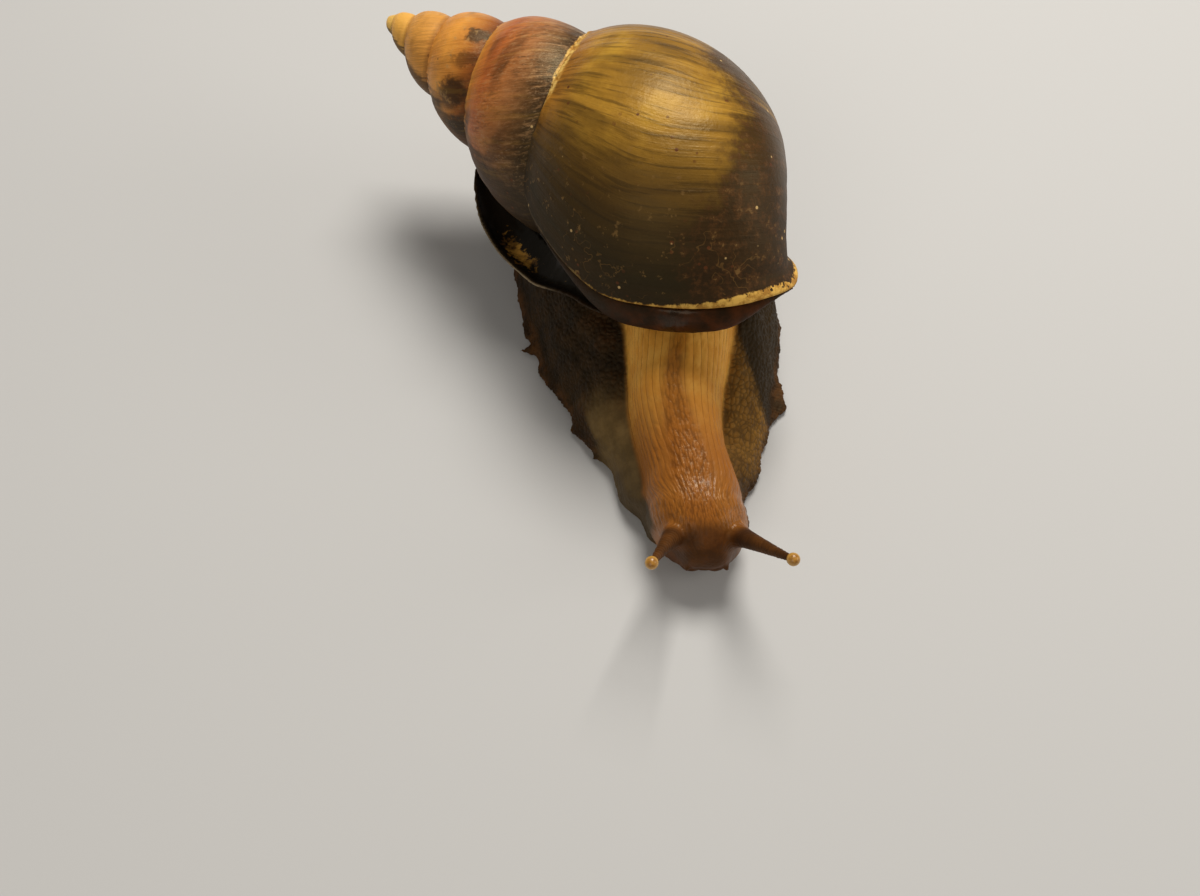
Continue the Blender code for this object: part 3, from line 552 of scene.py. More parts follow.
def build_shell(open_mouth):
    """The shell's points and faces, and each point's turn and place across the whorl."""
    last = round(WHORLS * STATIONS_PER_TURN)
    turns = [(i - last) / STATIONS_PER_TURN for i in range(last + 1)]
    places, growth, across = [], [], []

    def add(place, turn, part):
        places.append(place)
        growth.append(turn)
        across.append(part)
        return len(places) - 1

    pole = add((0.0, COLUMELLA_END, 0.0), 0.0, COLUMELLA_TIP)
    _, height, _, half_length = whorl(turns[0] - 0.5)
    nucleus = add((0.0, height - half_length, 0.0), turns[0], 0.0)
    starts = [add(growth_places(turn, np.array([suture_angle(turn)]))[0], turn, 0.0) for turn in turns]
    rows = []
    for i, turn in enumerate(turns):
        start, end = suture_angle(turn), covered_angle(turn)
        age = growth_age(turn, start + (end - start) * SPIRE_PARTS)
        opening = smoothstep(i / STATIONS_PER_TURN / APEX_OPENING_TURNS)
        covered = i + STATIONS_PER_TURN <= last
        relief = growth_relief(age, SPIRE_PARTS) * opening
        if covered:
            relief[-1] = 0.0
        upper = spire_row(turn)
        chord = upper[:1] + (upper[-1:] - upper[:1]) * SPIRE_PARTS[:, None]
        upper = raised(chord + (upper - chord) * opening, relief)
        row = [starts[i]] + [add(upper[j], age[j], SPIRE_PARTS[j]) for j in range(1, SPIRE_SEGMENTS)]
        row.append(starts[i + STATIONS_PER_TURN] if covered else add(upper[-1], age[-1], 1.0))
        if i + STATIONS_PER_TURN >= last:
            base = base_row(turn)
            share = np.arange(len(base)) / WHORL_BASE_SEGMENTS
            age = growth_age(turn, end + (column_angle(turn) - end) * np.minimum(share, 1.0))
            fading = np.clip(np.arange(len(base)) / BASE_FADE_POINTS, 0, 1) if covered else 1.0
            relief = growth_relief(age, 1 + share) * np.clip(1 - share, 0, 1) ** 0.5 * fading
            base = raised(base, relief)
            row += [add(base[j], age[j], 1 + share[j]) for j in range(1, len(base) - 1)] + [pole]
        rows.append(row)

    faces = []
    for near, far in zip(rows, rows[1:]):
        for j in range(min(len(near), len(far)) - 1):
            corners = (near[j], near[j + 1], far[j + 1], far[j])
            faces.append(tuple(dict.fromkeys(corners)))
    spiral = starts[: STATIONS_PER_TURN + 1] + rows[0][-2:0:-1]
    faces += [(a, b, nucleus) for a, b in zip(spiral, spiral[1:] + spiral[:1])]

    behind = rows[last - STATIONS_PER_TURN][SPIRE_SEGMENTS:]
    mouth = rows[last] + behind[-2:0:-1]
    if not open_mouth:
        faces += cap(mouth)
        return shell_points(np.array(places)), faces, np.array(growth), np.array(across)
    count = len(mouth)
    firsts = []
    for turn in (*APERTURE_TURNS, APERTURE_END):
        firsts.append(len(places))
        for place in aperture_loop(turn, LIP_THICKNESS, MOUTH_BACK_INSET):
            add(place, turn, INSIDE_MOUTH)
    for i in range(count):
        after = (i + 1) % count
        faces.append((mouth[i], mouth[after], firsts[0] + after, firsts[0] + i))
    for near, far in zip(firsts, firsts[1:]):
        faces += ring_strip(near, far, count)
    faces += cap(range(firsts[-1], firsts[-1] + count))
    return shell_points(np.array(places)), faces, np.array(growth), np.array(across)


def store(mesh, name, values):
    """Keeps one number for each point of the mesh, which a finish can read."""
    mesh.attributes.new(name, "FLOAT", "POINT").data.foreach_set("value", np.asarray(values, np.float32))


UNDERSIDE_START = 0.50
UNDERSIDE_FULL = -0.10
HORN_GRAIN_DEPTH = 0.00014
HORN_SPECULAR = 0.36
HORN_TINT = (1.0, 0.82, 0.48, 1.0)
# Whorls are counted from the lip. Colours of the last whorl and of the spire are set by the turn,
# and those of the second and the third by the place across the whorl.
LAST_WHORL_COLOURS = (
    (-0.55, (114, 80, 34)),
    (-0.36, (134, 96, 34)),
    (-0.25, (156, 114, 36)),
    (-0.15, (168, 124, 42)),
    (-0.105, (100, 72, 26)),
    (-0.07, (62, 44, 17)),
    (-0.03, (38, 29, 13)),
    (0.0, (40, 28, 12)),
)
# The last stops, where the next whorl covers this one, are darker: partly the horn's own colour, partly
# painted shade.
SECOND_WHORL_COLOURS = (
    (0.0, (226, 158, 70)),
    (0.10, (206, 130, 56)),
    (0.30, (188, 100, 43)),
    (0.50, (192, 118, 62)),
    (0.66, (168, 110, 64)),
    (0.80, (126, 86, 50)),
    (0.92, (76, 54, 32)),
    (1.0, (56, 40, 22)),
)
# Darker towards the last stop: partly the horn's own colour, partly painted shade.
THIRD_WHORL_COLOURS = (
    (0.0, (232, 156, 66)),
    (0.5, (238, 164, 72)),
    (0.72, (206, 134, 58)),
    (0.88, (162, 94, 38)),
    (1.0, (118, 62, 26)),
)
SPIRE_COLOURS = (
    (-5.4, (255, 208, 112)),
    (-4.7, (255, 200, 100)),
    (-4.1, (246, 184, 86)),
    (-3.4, (240, 176, 86)),
    (-2.7, (224, 152, 68)),
)
CLOUD_BROWN = srgb(84, 60, 24)
# A painted highlight on the last whorl.
PAINTED_SHEEN_GOLD = srgb(214, 168, 62)
BASE_BROWN, BASE_RUST = srgb(46, 27, 12), srgb(104, 64, 32)
SUTURE_ORANGE = srgb(190, 118, 40)
BLOTCH_BROWN = srgb(66, 38, 22)
SCRATCH_DARK, SCRATCH_TAN, SCRATCH_PALE = srgb(62, 42, 26), srgb(196, 148, 100), srgb(214, 176, 132)
OLD_EDGE_BROWN = srgb(44, 31, 19)
PATCH_RUST = srgb(166, 96, 40)
STAIN_BROWN = srgb(50, 29, 19)
WORN_PALE = srgb(232, 186, 120)
CORRUGATION_BROWN, SPIRE_BROWN, SPIRE_RUST = srgb(158, 102, 48), srgb(150, 96, 44), srgb(130, 72, 32)
# Painted shade, with dirt, on the undersides of the whorls.
UNDERSIDE_SHADE_AND_DIRT = srgb(36, 22, 11)
WIDE_LINE_DARK, WIDE_LINE_PALE, FINE_LINE_DARK = srgb(58, 38, 15), srgb(206, 158, 62), srgb(40, 27, 11)
DUST_TAN = srgb(140, 106, 60)
PIT_RUST = srgb(92, 48, 24)
THREAD_TAN = srgb(132, 96, 50)
FLECK_CREAM = srgb(226, 190, 128)
CRUST_OCHRE, CRUST_CREAM = srgb(184, 132, 54), srgb(234, 196, 112)
RIM_OCHRE, RIM_YELLOW, RIM_GREY = srgb(176, 126, 52), srgb(232, 186, 92), srgb(98, 80, 52)
MOUTH_BROWN = srgb(120, 84, 44)
# Each stain has its turn, its place across the whorl, its length and width, and its strength.
STAINS = (
    (-1.990, 0.76, 0.036, 0.22, 0.92),
    (-2.145, 0.82, 0.022, 0.16, 0.90),
    (-2.074, 0.80, 0.020, 0.15, 0.55),
    (-1.903, 0.86, 0.032, 0.22, 0.85),
    (-1.955, 0.42, 0.030, 0.18, 0.55),
)

points, faces, growth, across = build_shell(True)
shell = mesh_object("shell_horn", points, faces)
store(shell.data, "growth", growth)
store(shell.data, "across", across)
# How far each point faces down: there the whorls get painted shade and dirt, and a rougher surface.
upward = np.empty(len(points) * 3)
shell.data.vertex_normals.foreach_get("vector", upward)
store(shell.data, "under", blend(upward.reshape(-1, 3)[:, 2], UNDERSIDE_START, UNDERSIDE_FULL))
print("shell", len(shell.data.vertices), "points", len(shell.data.polygons), "faces")

horn = Finish("shell_horn")
turn, part, under = horn.attribute("growth"), horn.attribute("across"), horn.attribute("under")
behind = -1 * turn
place = horn.place()
grain = horn.node("ShaderNodeCombineXYZ", {}, {0: turn, 1: part, 2: 0.0})


def streaks(along, over, detail, roughness):
    """Noise with `along` lumps in each turn of the whorl and `over` lumps across its width."""
    return horn.noise(horn.stretched(grain, (along, over, 1.0)), 1.0, detail, roughness)


def along_growth(value, colours):
    """Colours set by the turn, or the place across the whorl, at which each is found."""
    low, high = colours[0][0], colours[-1][0]
    share = horn.node("ShaderNodeMapRange", {}, {"Value": value, "From Min": low, "From Max": high})
    return horn.ramp(share, [((stop - low) / (high - low), srgb(*colour)) for stop, colour in colours])


fine_lines = streaks(210.0, 2.0, 4.0, 0.65)
wide_lines = streaks(44.0, 1.1, 3.0, 0.6)
blotches = streaks(9.0, 3.4, 1.5, 0.5)
clouds = streaks(11.0, 2.6, 4.0, 0.6)
dashes = streaks(150.0, 7.0, 5.0, 0.68)
short_dashes = streaks(310.0, 30.0, 4.0, 0.6)
patches = horn.noise(place, 95.0, 4.0, 0.6)
specks = horn.noise(place, 1100.0, 2.0, 0.5)
dust = horn.noise(place, 420.0, 5.0, 0.7)
pits = horn.cells(place, 330.0)
patchy, dusty = patches - 0.5, dust - 0.5

# The last whorl: clouded brown and gold, with a painted golden highlight behind the lip, and a dark zone
# round the base.
painted_sheen = horn.between(1 - clouds, 0.48, 0.66) * horn.between(behind, 0.10, 0.16)
base_edge = part + 0.26 * horn.between(behind, 0.17, 0.26) + 0.30 * patchy + 0.24 * dusty
base_zone = horn.between(base_edge, 1.11, 1.27)
last_whorl = horn.layered(
    along_growth(turn + 0.03 * patchy, LAST_WHORL_COLOURS),
    (horn.between(clouds, 0.46, 0.68) * 0.3, CLOUD_BROWN),
    (painted_sheen * 0.45, PAINTED_SHEEN_GOLD),
    (base_zone * 0.88, BASE_BROWN),
    (base_zone * horn.between(dust, 0.46, 0.62) * 0.42, BASE_RUST),
    (horn.between(1 - part, 0.62, 0.95) * 0.5 * horn.between(behind, 0.08, 0.16), SUTURE_ORANGE),
)

# The second whorl: rust red, worn and scratched towards the last one.
worn = horn.between(part, 0.22, 0.42) * (1 - horn.between(part, 0.97, 1.0))
worn = worn * (0.45 + 0.55 * horn.between(patches, 0.40, 0.58))
second_whorl = horn.layered(
    along_growth(part, SECOND_WHORL_COLOURS),
    (horn.between(blotches, 0.50, 0.66) * 0.55, BLOTCH_BROWN),
    (horn.between(1 - dashes, 0.48, 0.62) * worn * 0.6, SCRATCH_DARK),
    (horn.between(dashes, 0.50, 0.66) * worn * 0.6, SCRATCH_TAN),
    (horn.between(short_dashes, 0.54, 0.70) * worn * 0.4, SCRATCH_PALE),
    (horn.between(turn, -1.12, -0.9) * horn.between(part, 0.2, 0.6) * 0.45, OLD_EDGE_BROWN),
)


def stain(turn_at, part_at, long, wide, strength):
    """A soft-edged dark stain at one place of a whorl, with a ragged outline."""
    off_turn = (turn - turn_at + 0.06 * patchy + 0.05 * dusty) * (1 / long)
    off_part = (part - part_at + 0.55 * dusty + 0.2 * patchy) * (1 / wide)
    return horn.between(off_turn * off_turn + off_part * off_part, 1.90, 0.20) * strength


# The third whorl: orange, with stains at set places in front and scattered ones elsewhere.
middle = horn.between(part, 0.30, 0.50) * (1 - horn.between(part, 0.84, 0.96))
elsewhere = 1 - horn.between(turn, -2.32, -2.22) * (1 - horn.between(turn, -1.86, -1.78))
scattered = horn.between(blotches + 0.16 * dusty, 0.49, 0.62) * middle * elsewhere
third_whorl = horn.layered(
    along_growth(part, THIRD_WHORL_COLOURS),
    (horn.between(patches, 0.44, 0.62) * 0.35, PATCH_RUST),
    (scattered * 0.9, STAIN_BROWN),
    *((stain(*row), STAIN_BROWN) for row in STAINS),
    (horn.between(dust, 0.54, 0.66) * middle * 0.3, WORN_PALE),
)

# The spire: yellow, corrugated below, and paler towards the apex.
corrugated = horn.between(fine_lines, 0.42, 0.60) * horn.between(turn, -3.9, -3.5)
spire = horn.layered(
    along_growth(turn, SPIRE_COLOURS),
    (corrugated * 0.4, CORRUGATION_BROWN),
    (horn.between(blotches, 0.50, 0.66) * horn.between(turn, -4.2, -3.8) * 0.35, SPIRE_BROWN),
    (horn.between(part, 0.86, 0.98) * 0.5, SPIRE_RUST),
)

# What lies over all the whorls: painted shade and dirt on their undersides, growth lines, dust, pits,
# threads and pale flecks.
shade_and_dirt = under + 0.9 * dusty + 0.5 * patchy
lined = horn.between(turn, -3.0, -2.0) * (0.35 + 0.65 * horn.between(turn, -0.8, -0.5))
pale_lines = horn.between(1 - wide_lines, 0.54, 0.66) * (1 - horn.between(turn, -0.17, -0.11)) * lined
near_lip = horn.between(turn, -0.14, -0.02)
thread = horn.noise(place, 240.0, 2.0, 0.5) - 0.5
threads = horn.between(thread * thread, 0.00016, 0.00004) * horn.between(patches, 0.50, 0.58)
flecks = 1 - horn.between(horn.cells(place, 300.0), 0.07, 0.12)
flecks = flecks * horn.between(patches + 0.10 * base_zone + 0.08 * near_lip, 0.56, 0.62)
colour = horn.layered(
    spire,
    (horn.between(turn, -2.75, -2.5), third_whorl),
    (horn.between(turn, -1.8, -1.5), second_whorl),
    (horn.between(turn, -0.75, -0.5), last_whorl),
    (horn.between(shade_and_dirt, 0.35, 0.85) * 0.82, UNDERSIDE_SHADE_AND_DIRT),
    (horn.between(wide_lines, 0.47, 0.66) * 0.5 * lined, WIDE_LINE_DARK),
    (pale_lines * 0.3, WIDE_LINE_PALE),
    (horn.between(fine_lines, 0.50, 0.64) * 0.5 * lined, FINE_LINE_DARK),
    (horn.between(dust, 0.60, 0.68) * (0.25 + 0.45 * near_lip), DUST_TAN),
    ((1 - horn.between(pits, 0.10, 0.16)) * horn.between(patches, 0.5, 0.6), PIT_RUST),
    (threads * near_lip * 0.4, THREAD_TAN),
    (flecks * 0.85, FLECK_CREAM),
)

# The dried crust: on both sides of the last suture, and along the lip.
ragged = part + 0.10 * dusty + 0.08 * patchy + 0.08 * horn.between(turn, -0.17, -0.10)
ragged = ragged + 0.035 * horn.between(behind, 0.26, 0.36)
crusty = (1 - horn.between(ragged, 0.050, 0.085)) * horn.between(specks, 0.28, 0.46)
seam_edge = part + 0.05 * dusty + 0.04 * patchy - 0.06 * horn.between(turn, -1.12, -1.02)
seam = horn.between(seam_edge, 0.968, 0.982) * horn.between(specks, 0.28, 0.46)
seam = seam * horn.between(turn, -1.6, -1.4) * (1 - horn.between(turn, -0.96, -0.92))
rim_edge = turn + 0.012 * dusty + 0.009 * horn.between(part, 1.1, 1.6) * horn.between(specks, 0.3, 0.5)
rim_edge = rim_edge - 0.0018 * (1 - horn.between(part, 0.95, 1.25))
rim = horn.between(rim_edge, -0.0045, -0.0025)
crust_colour = horn.mix(horn.between(dust, 0.4, 0.6), CRUST_OCHRE, CRUST_CREAM)
rim_colour = horn.mix(horn.between(dust, 0.4, 0.6), RIM_OCHRE, RIM_YELLOW)
rim_colour = horn.mix(horn.between(1 - part, 0.15, 0.45), rim_colour, RIM_GREY)
colour = horn.layered(
    colour,
    (crusty * horn.between(turn, -0.75, -0.6), crust_colour),
    (seam, crust_colour),
    (rim * (0.55 + 0.45 * horn.between(part, 0.7, 1.2)), rim_colour),
    (horn.between(part, INSIDE_MOUTH - 0.5, INSIDE_MOUTH - 0.4), MOUTH_BROWN),
)
horn.surface(
    Base_Color=colour,
    Roughness=0.27 + 0.2 * patches + 0.3 * crusty + 0.25 * near_lip + 0.2 * under,
    Normal=horn.bump(fine_lines + 0.5 * specks + 0.6 * dust, HORN_GRAIN_DEPTH, 1.0),
    Specular_IOR_Level=HORN_SPECULAR,
    Specular_Tint=HORN_TINT,
)
shell.data.materials.append(horn.material)
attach(shell, "root")
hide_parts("shell")


# Skin
# The soft body is one wet skin without a seam: foot, neck, head, both pairs of tentacles, and the
# mantle's edge under the lip. Each part is lofted along the body, and they are then grown together.
FOOT_FRONT, TAIL_TIP = -0.0775, 0.0850
# Each table gives a measure at places along Y: of the foot, of the body over it, then of the neck
# and of the head.
FOOT_RIGHT_EDGE = (
    (-0.0775, 0.0155),
    (-0.0745, 0.0105),
    (-0.0715, 0.0093),
    (-0.0691, 0.0080),
    (-0.0668, 0.0052),
    (-0.0614, 0.0030),
    (-0.0559, 0.0010),
    (-0.0539, -0.0010),
    (-0.0486, -0.0052),
    (-0.0454, -0.0070),
    (-0.0412, -0.0079),
    (-0.0378, -0.0101),
    (-0.0331, -0.0131),
    (-0.0287, -0.0152),
    (-0.0243, -0.0161),
    (-0.0193, -0.0174),
    (-0.0120, -0.0196),
    (-0.0070, -0.0210),
    (0.0100, -0.0210),
    (0.0300, -0.0170),
    (0.0500, -0.0105),
    (0.0700, -0.0035),
    (0.0850, 0.0022),
)
FOOT_LEFT_EDGE = (
    (-0.0775, 0.0235),
    (-0.0745, 0.0280),
    (-0.0690, 0.0302),
    (-0.0625, 0.0328),
    (-0.0590, 0.0357),
    (-0.0532, 0.0373),
    (-0.0480, 0.0390),
    (-0.0400, 0.0408),
    (-0.0290, 0.0425),
    (-0.0200, 0.0443),
    (-0.0080, 0.0432),
    (0.0100, 0.0400),
    (0.0300, 0.0335),
    (0.0500, 0.0235),
    (0.0700, 0.0120),
    (0.0850, 0.0042),
)
SHOULDER_HEIGHT = (
    (-0.0775, 0.0036),
    (-0.0745, 0.0068),
    (-0.0700, 0.0088),
    (-0.0640, 0.0098),
    (-0.0580, 0.0104),
    (-0.0490, 0.0124),
    (-0.0385, 0.0165),
    (-0.0300, 0.0200),
    (-0.0150, 0.0225),
    (0.0000, 0.0205),
    (0.0140, 0.0145),
    (0.0250, 0.0115),
    (0.0400, 0.0095),
    (0.0600, 0.0068),
    (0.0750, 0.0042),
    (0.0850, 0.0012),
)
CROWN_HEIGHT = (
    (-0.0330, 0.0100),
    (-0.0200, 0.0130),
    (-0.0050, 0.0140),
    (0.0080, 0.0090),
    (0.0200, 0.0035),
    (0.0400, 0.0016),
    (0.0850, 0.0006),
)
NECK_CENTRE = (
    (-0.0860, 0.0222),
    (-0.0786, 0.0216),
    (-0.0716, 0.0204),
    (-0.0640, 0.0193),
    (-0.0580, 0.0178),
    (-0.0490, 0.0166),
    (-0.0385, 0.0173),
    (-0.0300, 0.0177),
    (-0.0200, 0.0155),
    (0.0100, 0.0110),
    (0.0500, 0.0065),
    (0.0850, 0.0032),
)
NECK_HALF_WIDTH = (
    (-0.0775, 0.0035),
    (-0.0740, 0.0080),
    (-0.0700, 0.0103),
    (-0.0640, 0.0098),
    (-0.0580, 0.0096),
    (-0.0490, 0.0101),
    (-0.0385, 0.0110),
    (-0.0300, 0.0121),
    (-0.0150, 0.0160),
    (0.0050, 0.0150),
    (0.0250, 0.0095),
    (0.0500, 0.0050),
    (0.0750, 0.0022),
    (0.0850, 0.0006),
)
NECK_TOP = (
    (-0.0690, 0.0200),
    (-0.0580, 0.0222),
    (-0.0490, 0.0250),
    (-0.0385, 0.0282),
    (-0.0300, 0.0300),
)
NECK_FRONT = -0.0690
NECK_BACK = -0.0310
HEAD_HALF_WIDTH = (
    (-0.0848, 0.0022),
    (-0.0843, 0.0036),
    (-0.0835, 0.0046),
    (-0.0820, 0.0056),
    (-0.0805, 0.0065),
    (-0.0786, 0.0084),
    (-0.0765, 0.0100),
    (-0.0740, 0.0107),
    (-0.0690, 0.0104),
)
HEAD_TOP = (
    (-0.0848, 0.0116),
    (-0.0843, 0.0128),
    (-0.0830, 0.0148),
    (-0.0800, 0.0172),
    (-0.0750, 0.0192),
    (-0.0690, 0.0200),
)
HEAD_UNDERSIDE = (
    (-0.0848, 0.0102),
    (-0.0841, 0.0086),
    (-0.0830, 0.0060),
    (-0.0815, 0.0034),
    (-0.0802, 0.0022),
    (-0.0788, 0.0028),
    (-0.0772, 0.0050),
    (-0.0745, 0.0064),
    (-0.0690, 0.0068),
)
MARGIN_HEIGHT = 0.0012
MARGIN_STEP = 0.0004
MARGIN_ROLL = 0.0017
MARGIN_ROLL_SHARE = 0.2
LEAST_BACK = 0.0004
FLANK_FULLNESS = 0.75
FRONT_FLANK_SLIMMING = 0.2
FRONT_FLANK_FROM, FRONT_FLANK_OVER = 0.040, 0.015
FLANK_FOOT_SHARE = 0.25
CROWN_START, CROWN_START_OVER = -0.0345, 0.003
CROWN_FULLNESS = 0.7
SOLE_POINTS, FLANK_POINTS, CROWN_POINTS = 30, 22, 17
NARROW_FOOT = 0.020
# Waves of the ragged edge, by length and height, and single lobes of it by place, side, reach and
# half width.
FRILL = 0.00066
FRILL_START = 1.0
FRILL_WAVES = ((0.0042, 1.0), (0.0016, 0.35), (0.009, 0.7))
FRINGE_LOBES = (
    (-0.0405, 1, 0.0040, 0.0045),
    (-0.0360, 1, 0.0020, 0.0065),
    (-0.0238, -1, 0.0045, 0.0016),
    (-0.0195, -1, 0.0012, 0.0020),
    (-0.0300, -1, 0.0012, 0.0018),
    (-0.0460, -1, 0.0012, 0.0016),
    (-0.0539, -1, 0.0026, 0.0012),
)
FRINGE_SHARPNESS = 1.4
HEAD_FRONT, HEAD_LENGTH = -0.0848, 0.0158
HEAD_BLEND = 0.003
HEAD_WAIST = 0.45
NECK_SINK = 0.002
NECK_ROUNDNESS = 2 / 2.6
WAIST_DELAY = 0.4
UNDER_ROUNDING = 0.1
NECK_TOP_POINTS, NECK_UNDER_POINTS, UNDER_REACH = 60, 24, 0.96
FOOT_RINGS, HEAD_RINGS, NECK_RINGS = 240, 30, 60
UPPER_TENTACLES = (
    (Vector((0.0150, -0.0795, 0.0150)), Vector((0.0097, -0.0926, 0.0305))),
    (Vector((0.0289, -0.0797, 0.0150)), Vector((0.0364, -0.0918, 0.0303))),
)
LOWER_TENTACLES = (
    (Vector((0.0178, -0.0812, 0.0088)), Vector((0.0180, -0.0848, 0.0086))),
    (Vector((0.0262, -0.0812, 0.0088)), Vector((0.0264, -0.0848, 0.0086))),
)
# Radius at the root and at the tip, flare into the head, number of rings, depth of the root in the
# head, and how far the end stays inside the eye bulb, in radii of the bulb.
UPPER_STALK = (0.0026, 0.00098, 0.0012, 60, 0.003, 0.75)
LOWER_STALK = (0.00125, 0.00062, 0.0004, 24, 0.0015, 0.0)
STALK_TAPER = 1.15
STALK_FLARE_SHARE = 0.06
STALK_RING_HEIGHT, STALK_RING_PHASE = 0.00003, 95
STALK_SIDES = 24
EYE_RADIUS = 0.0013
LIP_LOBES = (
    ((0.0196, -0.0809, 0.0042), (0.0027, 0.0018, 0.0024)),
    ((0.0244, -0.0809, 0.0042), (0.0027, 0.0018, 0.0024)),
    ((0.0220, -0.0820, 0.0066), (0.0036, 0.0017, 0.0015)),
)
LIP_LOBE_RINGS, LIP_LOBE_SIDES, LIP_LOBE_END = 18, 28, 1.45
# Turn of each ring of the collar past the lip, and how far it is set in from the outer wall.
COLLAR_PROFILE = (
    (0.0018, LIP_THICKNESS + 0.0004),
    (0.0042, 0.0005),
    (0.010, 0.0002),
    (0.016, 0.0001),
    (0.023, 0.0002),
    (0.030, 0.0005),
    (0.035, 0.0010),
    (0.038, 0.0016),
    (0.0402, 0.0024),
    (0.0420, 0.0034),
)
COLLAR_CLEARANCE = 0.0005
COLLAR_BACK_INSET = 0.0009
# Points of the flap's free rim and of its root beside them, and then its section from rim to root:
# place, depth of the cup and thickness.
FLAP_EDGES = (
    ((0.0085, -0.0340, 0.0325), (0.0105, -0.0280, 0.0350)),
    ((0.0030, -0.0338, 0.0288), (0.0055, -0.0245, 0.0335)),
    ((-0.0025, -0.0304, 0.0270), (0.0010, -0.0215, 0.0320)),
    ((-0.0073, -0.0252, 0.0248), (-0.0035, -0.0170, 0.0285)),
    ((-0.0142, -0.0204, 0.0220), (-0.0085, -0.0105, 0.0230)),
    ((-0.0170, -0.0169, 0.0202), (-0.0115, -0.0070, 0.0205)),
    ((-0.0219, -0.0108, 0.0190), (-0.0145, -0.0020, 0.0185)),
    ((-0.0254, -0.0055, 0.0186), (-0.0170, 0.0040, 0.0175)),
    ((-0.0292, 0.0032, 0.0186), (-0.0200, 0.0100, 0.0175)),
    ((-0.0310, 0.0145, 0.0188), (-0.0235, 0.0165, 0.0178)),
    ((-0.0300, 0.0210, 0.0200), (-0.0255, 0.0205, 0.0190)),
)
FLAP_SECTION = (
    (0.0, 0.0, 0.0008),
    (0.12, 0.0016, 0.0014),
    (0.35, 0.0030, 0.0018),
    (0.65, 0.0026, 0.0026),
    (1.0, 0.0010, 0.0034),
)
FLAP_FULL_WIDTH = 0.012
FLAP_STEPS = 6
FLAP_POINTS = 22
SKIN_VOXEL = 0.00048
FINE_SKIN_BACK = -0.016
SOLE_EDGE = 0.0004
SMOOTHING_ROUNDS, SMOOTHING_SHARE = 5, 0.5
SHELL_GAP = 0.0003
NECK_FOLDS = 23
NECK_RADIUS = 0.0105
NECK_GIRTH = 0.034
FOLD_FLATNESS = 0.4
FOLD_HEIGHT, FOLD_BREAK_HEIGHT = 0.00022, 0.00012
HEAD_FOLD_HEIGHT, HEAD_GRAIN_HEIGHT = 0.00010, 0.00006
TUBERCLE_HEIGHT, TUBERCLE_GRAIN_HEIGHT = 0.00022, 0.00006
MARGIN_CREASE_HEIGHT, MARGIN_CREASE_PHASE = 0.00016, 4200
FEELER_GRAIN_HEIGHT, FEELER_RING_HEIGHT, FEELER_RING_PHASE = 0.00004, 0.00004, 110
RELIEF_SINK = 0.00022
MANTLE_REACH = 0.0007
# Zones of the skin: each pair is the measure at which a zone starts and the one at which it is full.
HEAD_ZONE = (NECK_FRONT + 0.003, NECK_FRONT - 0.004)
ABOVE_WAIST, WITHIN_NECK = (-0.0012, 0.0010), (1.12, 0.98)
WHOLE_HEAD, OUT_OF_SHELL = (-0.0745, -0.0775), (-0.012, -0.022)
FEELER_ZONE, FEELER_START = (0.0046, 0.0030), (0, 0.16)
HOLLOW_ZONE, RIM_ZONE, RIM_RIGHT = (0.05, 0.13), (0.06, 0.01), (-0.008, -0.016)
MARGIN_ZONE, MARGIN_TOP, SOLE_ZONE = (0.0042, 0.0012), (0.0052, 0.0022), (0.0006, 0.0002)
PAINTED_LIGHT_ZONE, PAINTED_LIGHT_FRONT = (-0.038, -0.050), (-0.054, -0.058)
STRIPE_SPREADING, GRAINY_HEAD = (-0.044, -0.074), (-0.062, -0.074)
BAND_LEFT_ZONE, LEFT_ZONE = (0.012, -0.004), (0, 0.004)
UPPER_NECK_ZONE, LOWER_NECK_ZONE = (-0.042, -0.034), (-0.036, -0.063)
FLANK_FRONT_ZONE, SNOUT_ZONE = (-0.050, -0.068), (-0.0765, -0.0805)
BEHIND_ZONE, BEHIND_SLANT, BEHIND_PIVOT = (-0.050, -0.036), 2.0, 0.036
HEAD_SLOPE_SHARE = 0.9
FLAP_TOP_TILT, BAND_UNDER_WAIST = -0.2, 0.004
REFLECTION_STEP, REFLECTION_STEP_REACH, REFLECTION_SHARE, REFLECTION_SHARE_REACH = 0.60, 0.20, 0.36, 0.34
LIGHT_EDGE_X, LIGHT_EDGE_Y, LIGHT_EDGE_SLANT, LIGHT_EDGE_WIDTH = -0.0005, -0.056, 0.5, 0.003
LIGHT_PATCH_SMOOTHNESS = 0.75
STRIPE_LEAN, STRIPE_HALF, STRIPE_SPREAD, STRIPE_EDGE = 0.05, 0.05, 0.30, 0.22
FOLD_BREAK_SIZE, HEAD_GRAIN_SIZE = (0.0011, 0.0036, 1.0), (0.00056, 0.0027, 1.0)
FINE_GRAIN_SIZE, TUBERCLE_SIZE = (0.00055, 0.0007, 0.00055), (0.00125, 0.0014, 0.00125)
# Lumps are given by height, size and seed.
FOLD_WANDER = ((0.28, (0.006, 0.011, 1.0), 31), (0.5, (0.02, 0.03, 1.0), 32))
TUBERCLE_WANDER = ((0.0005, 0.003, 36),)
STRIPE_WANDER = ((0.05, (1.0, 0.012, 1.0), 38),)
FLANK_LUMPS = ((0.0005, 0.0055, 39), (0.0003, 0.0026, 43))
MARGIN_CREASE_WANDER = ((2.4, 0.004, 40),)
MANTLE_LUMPS = ((0.00005, 0.0012, 41), (0.00006, 0.004, 42))
LIGHT_EDGE_WANDER = ((0.002, 0.005, 44),)


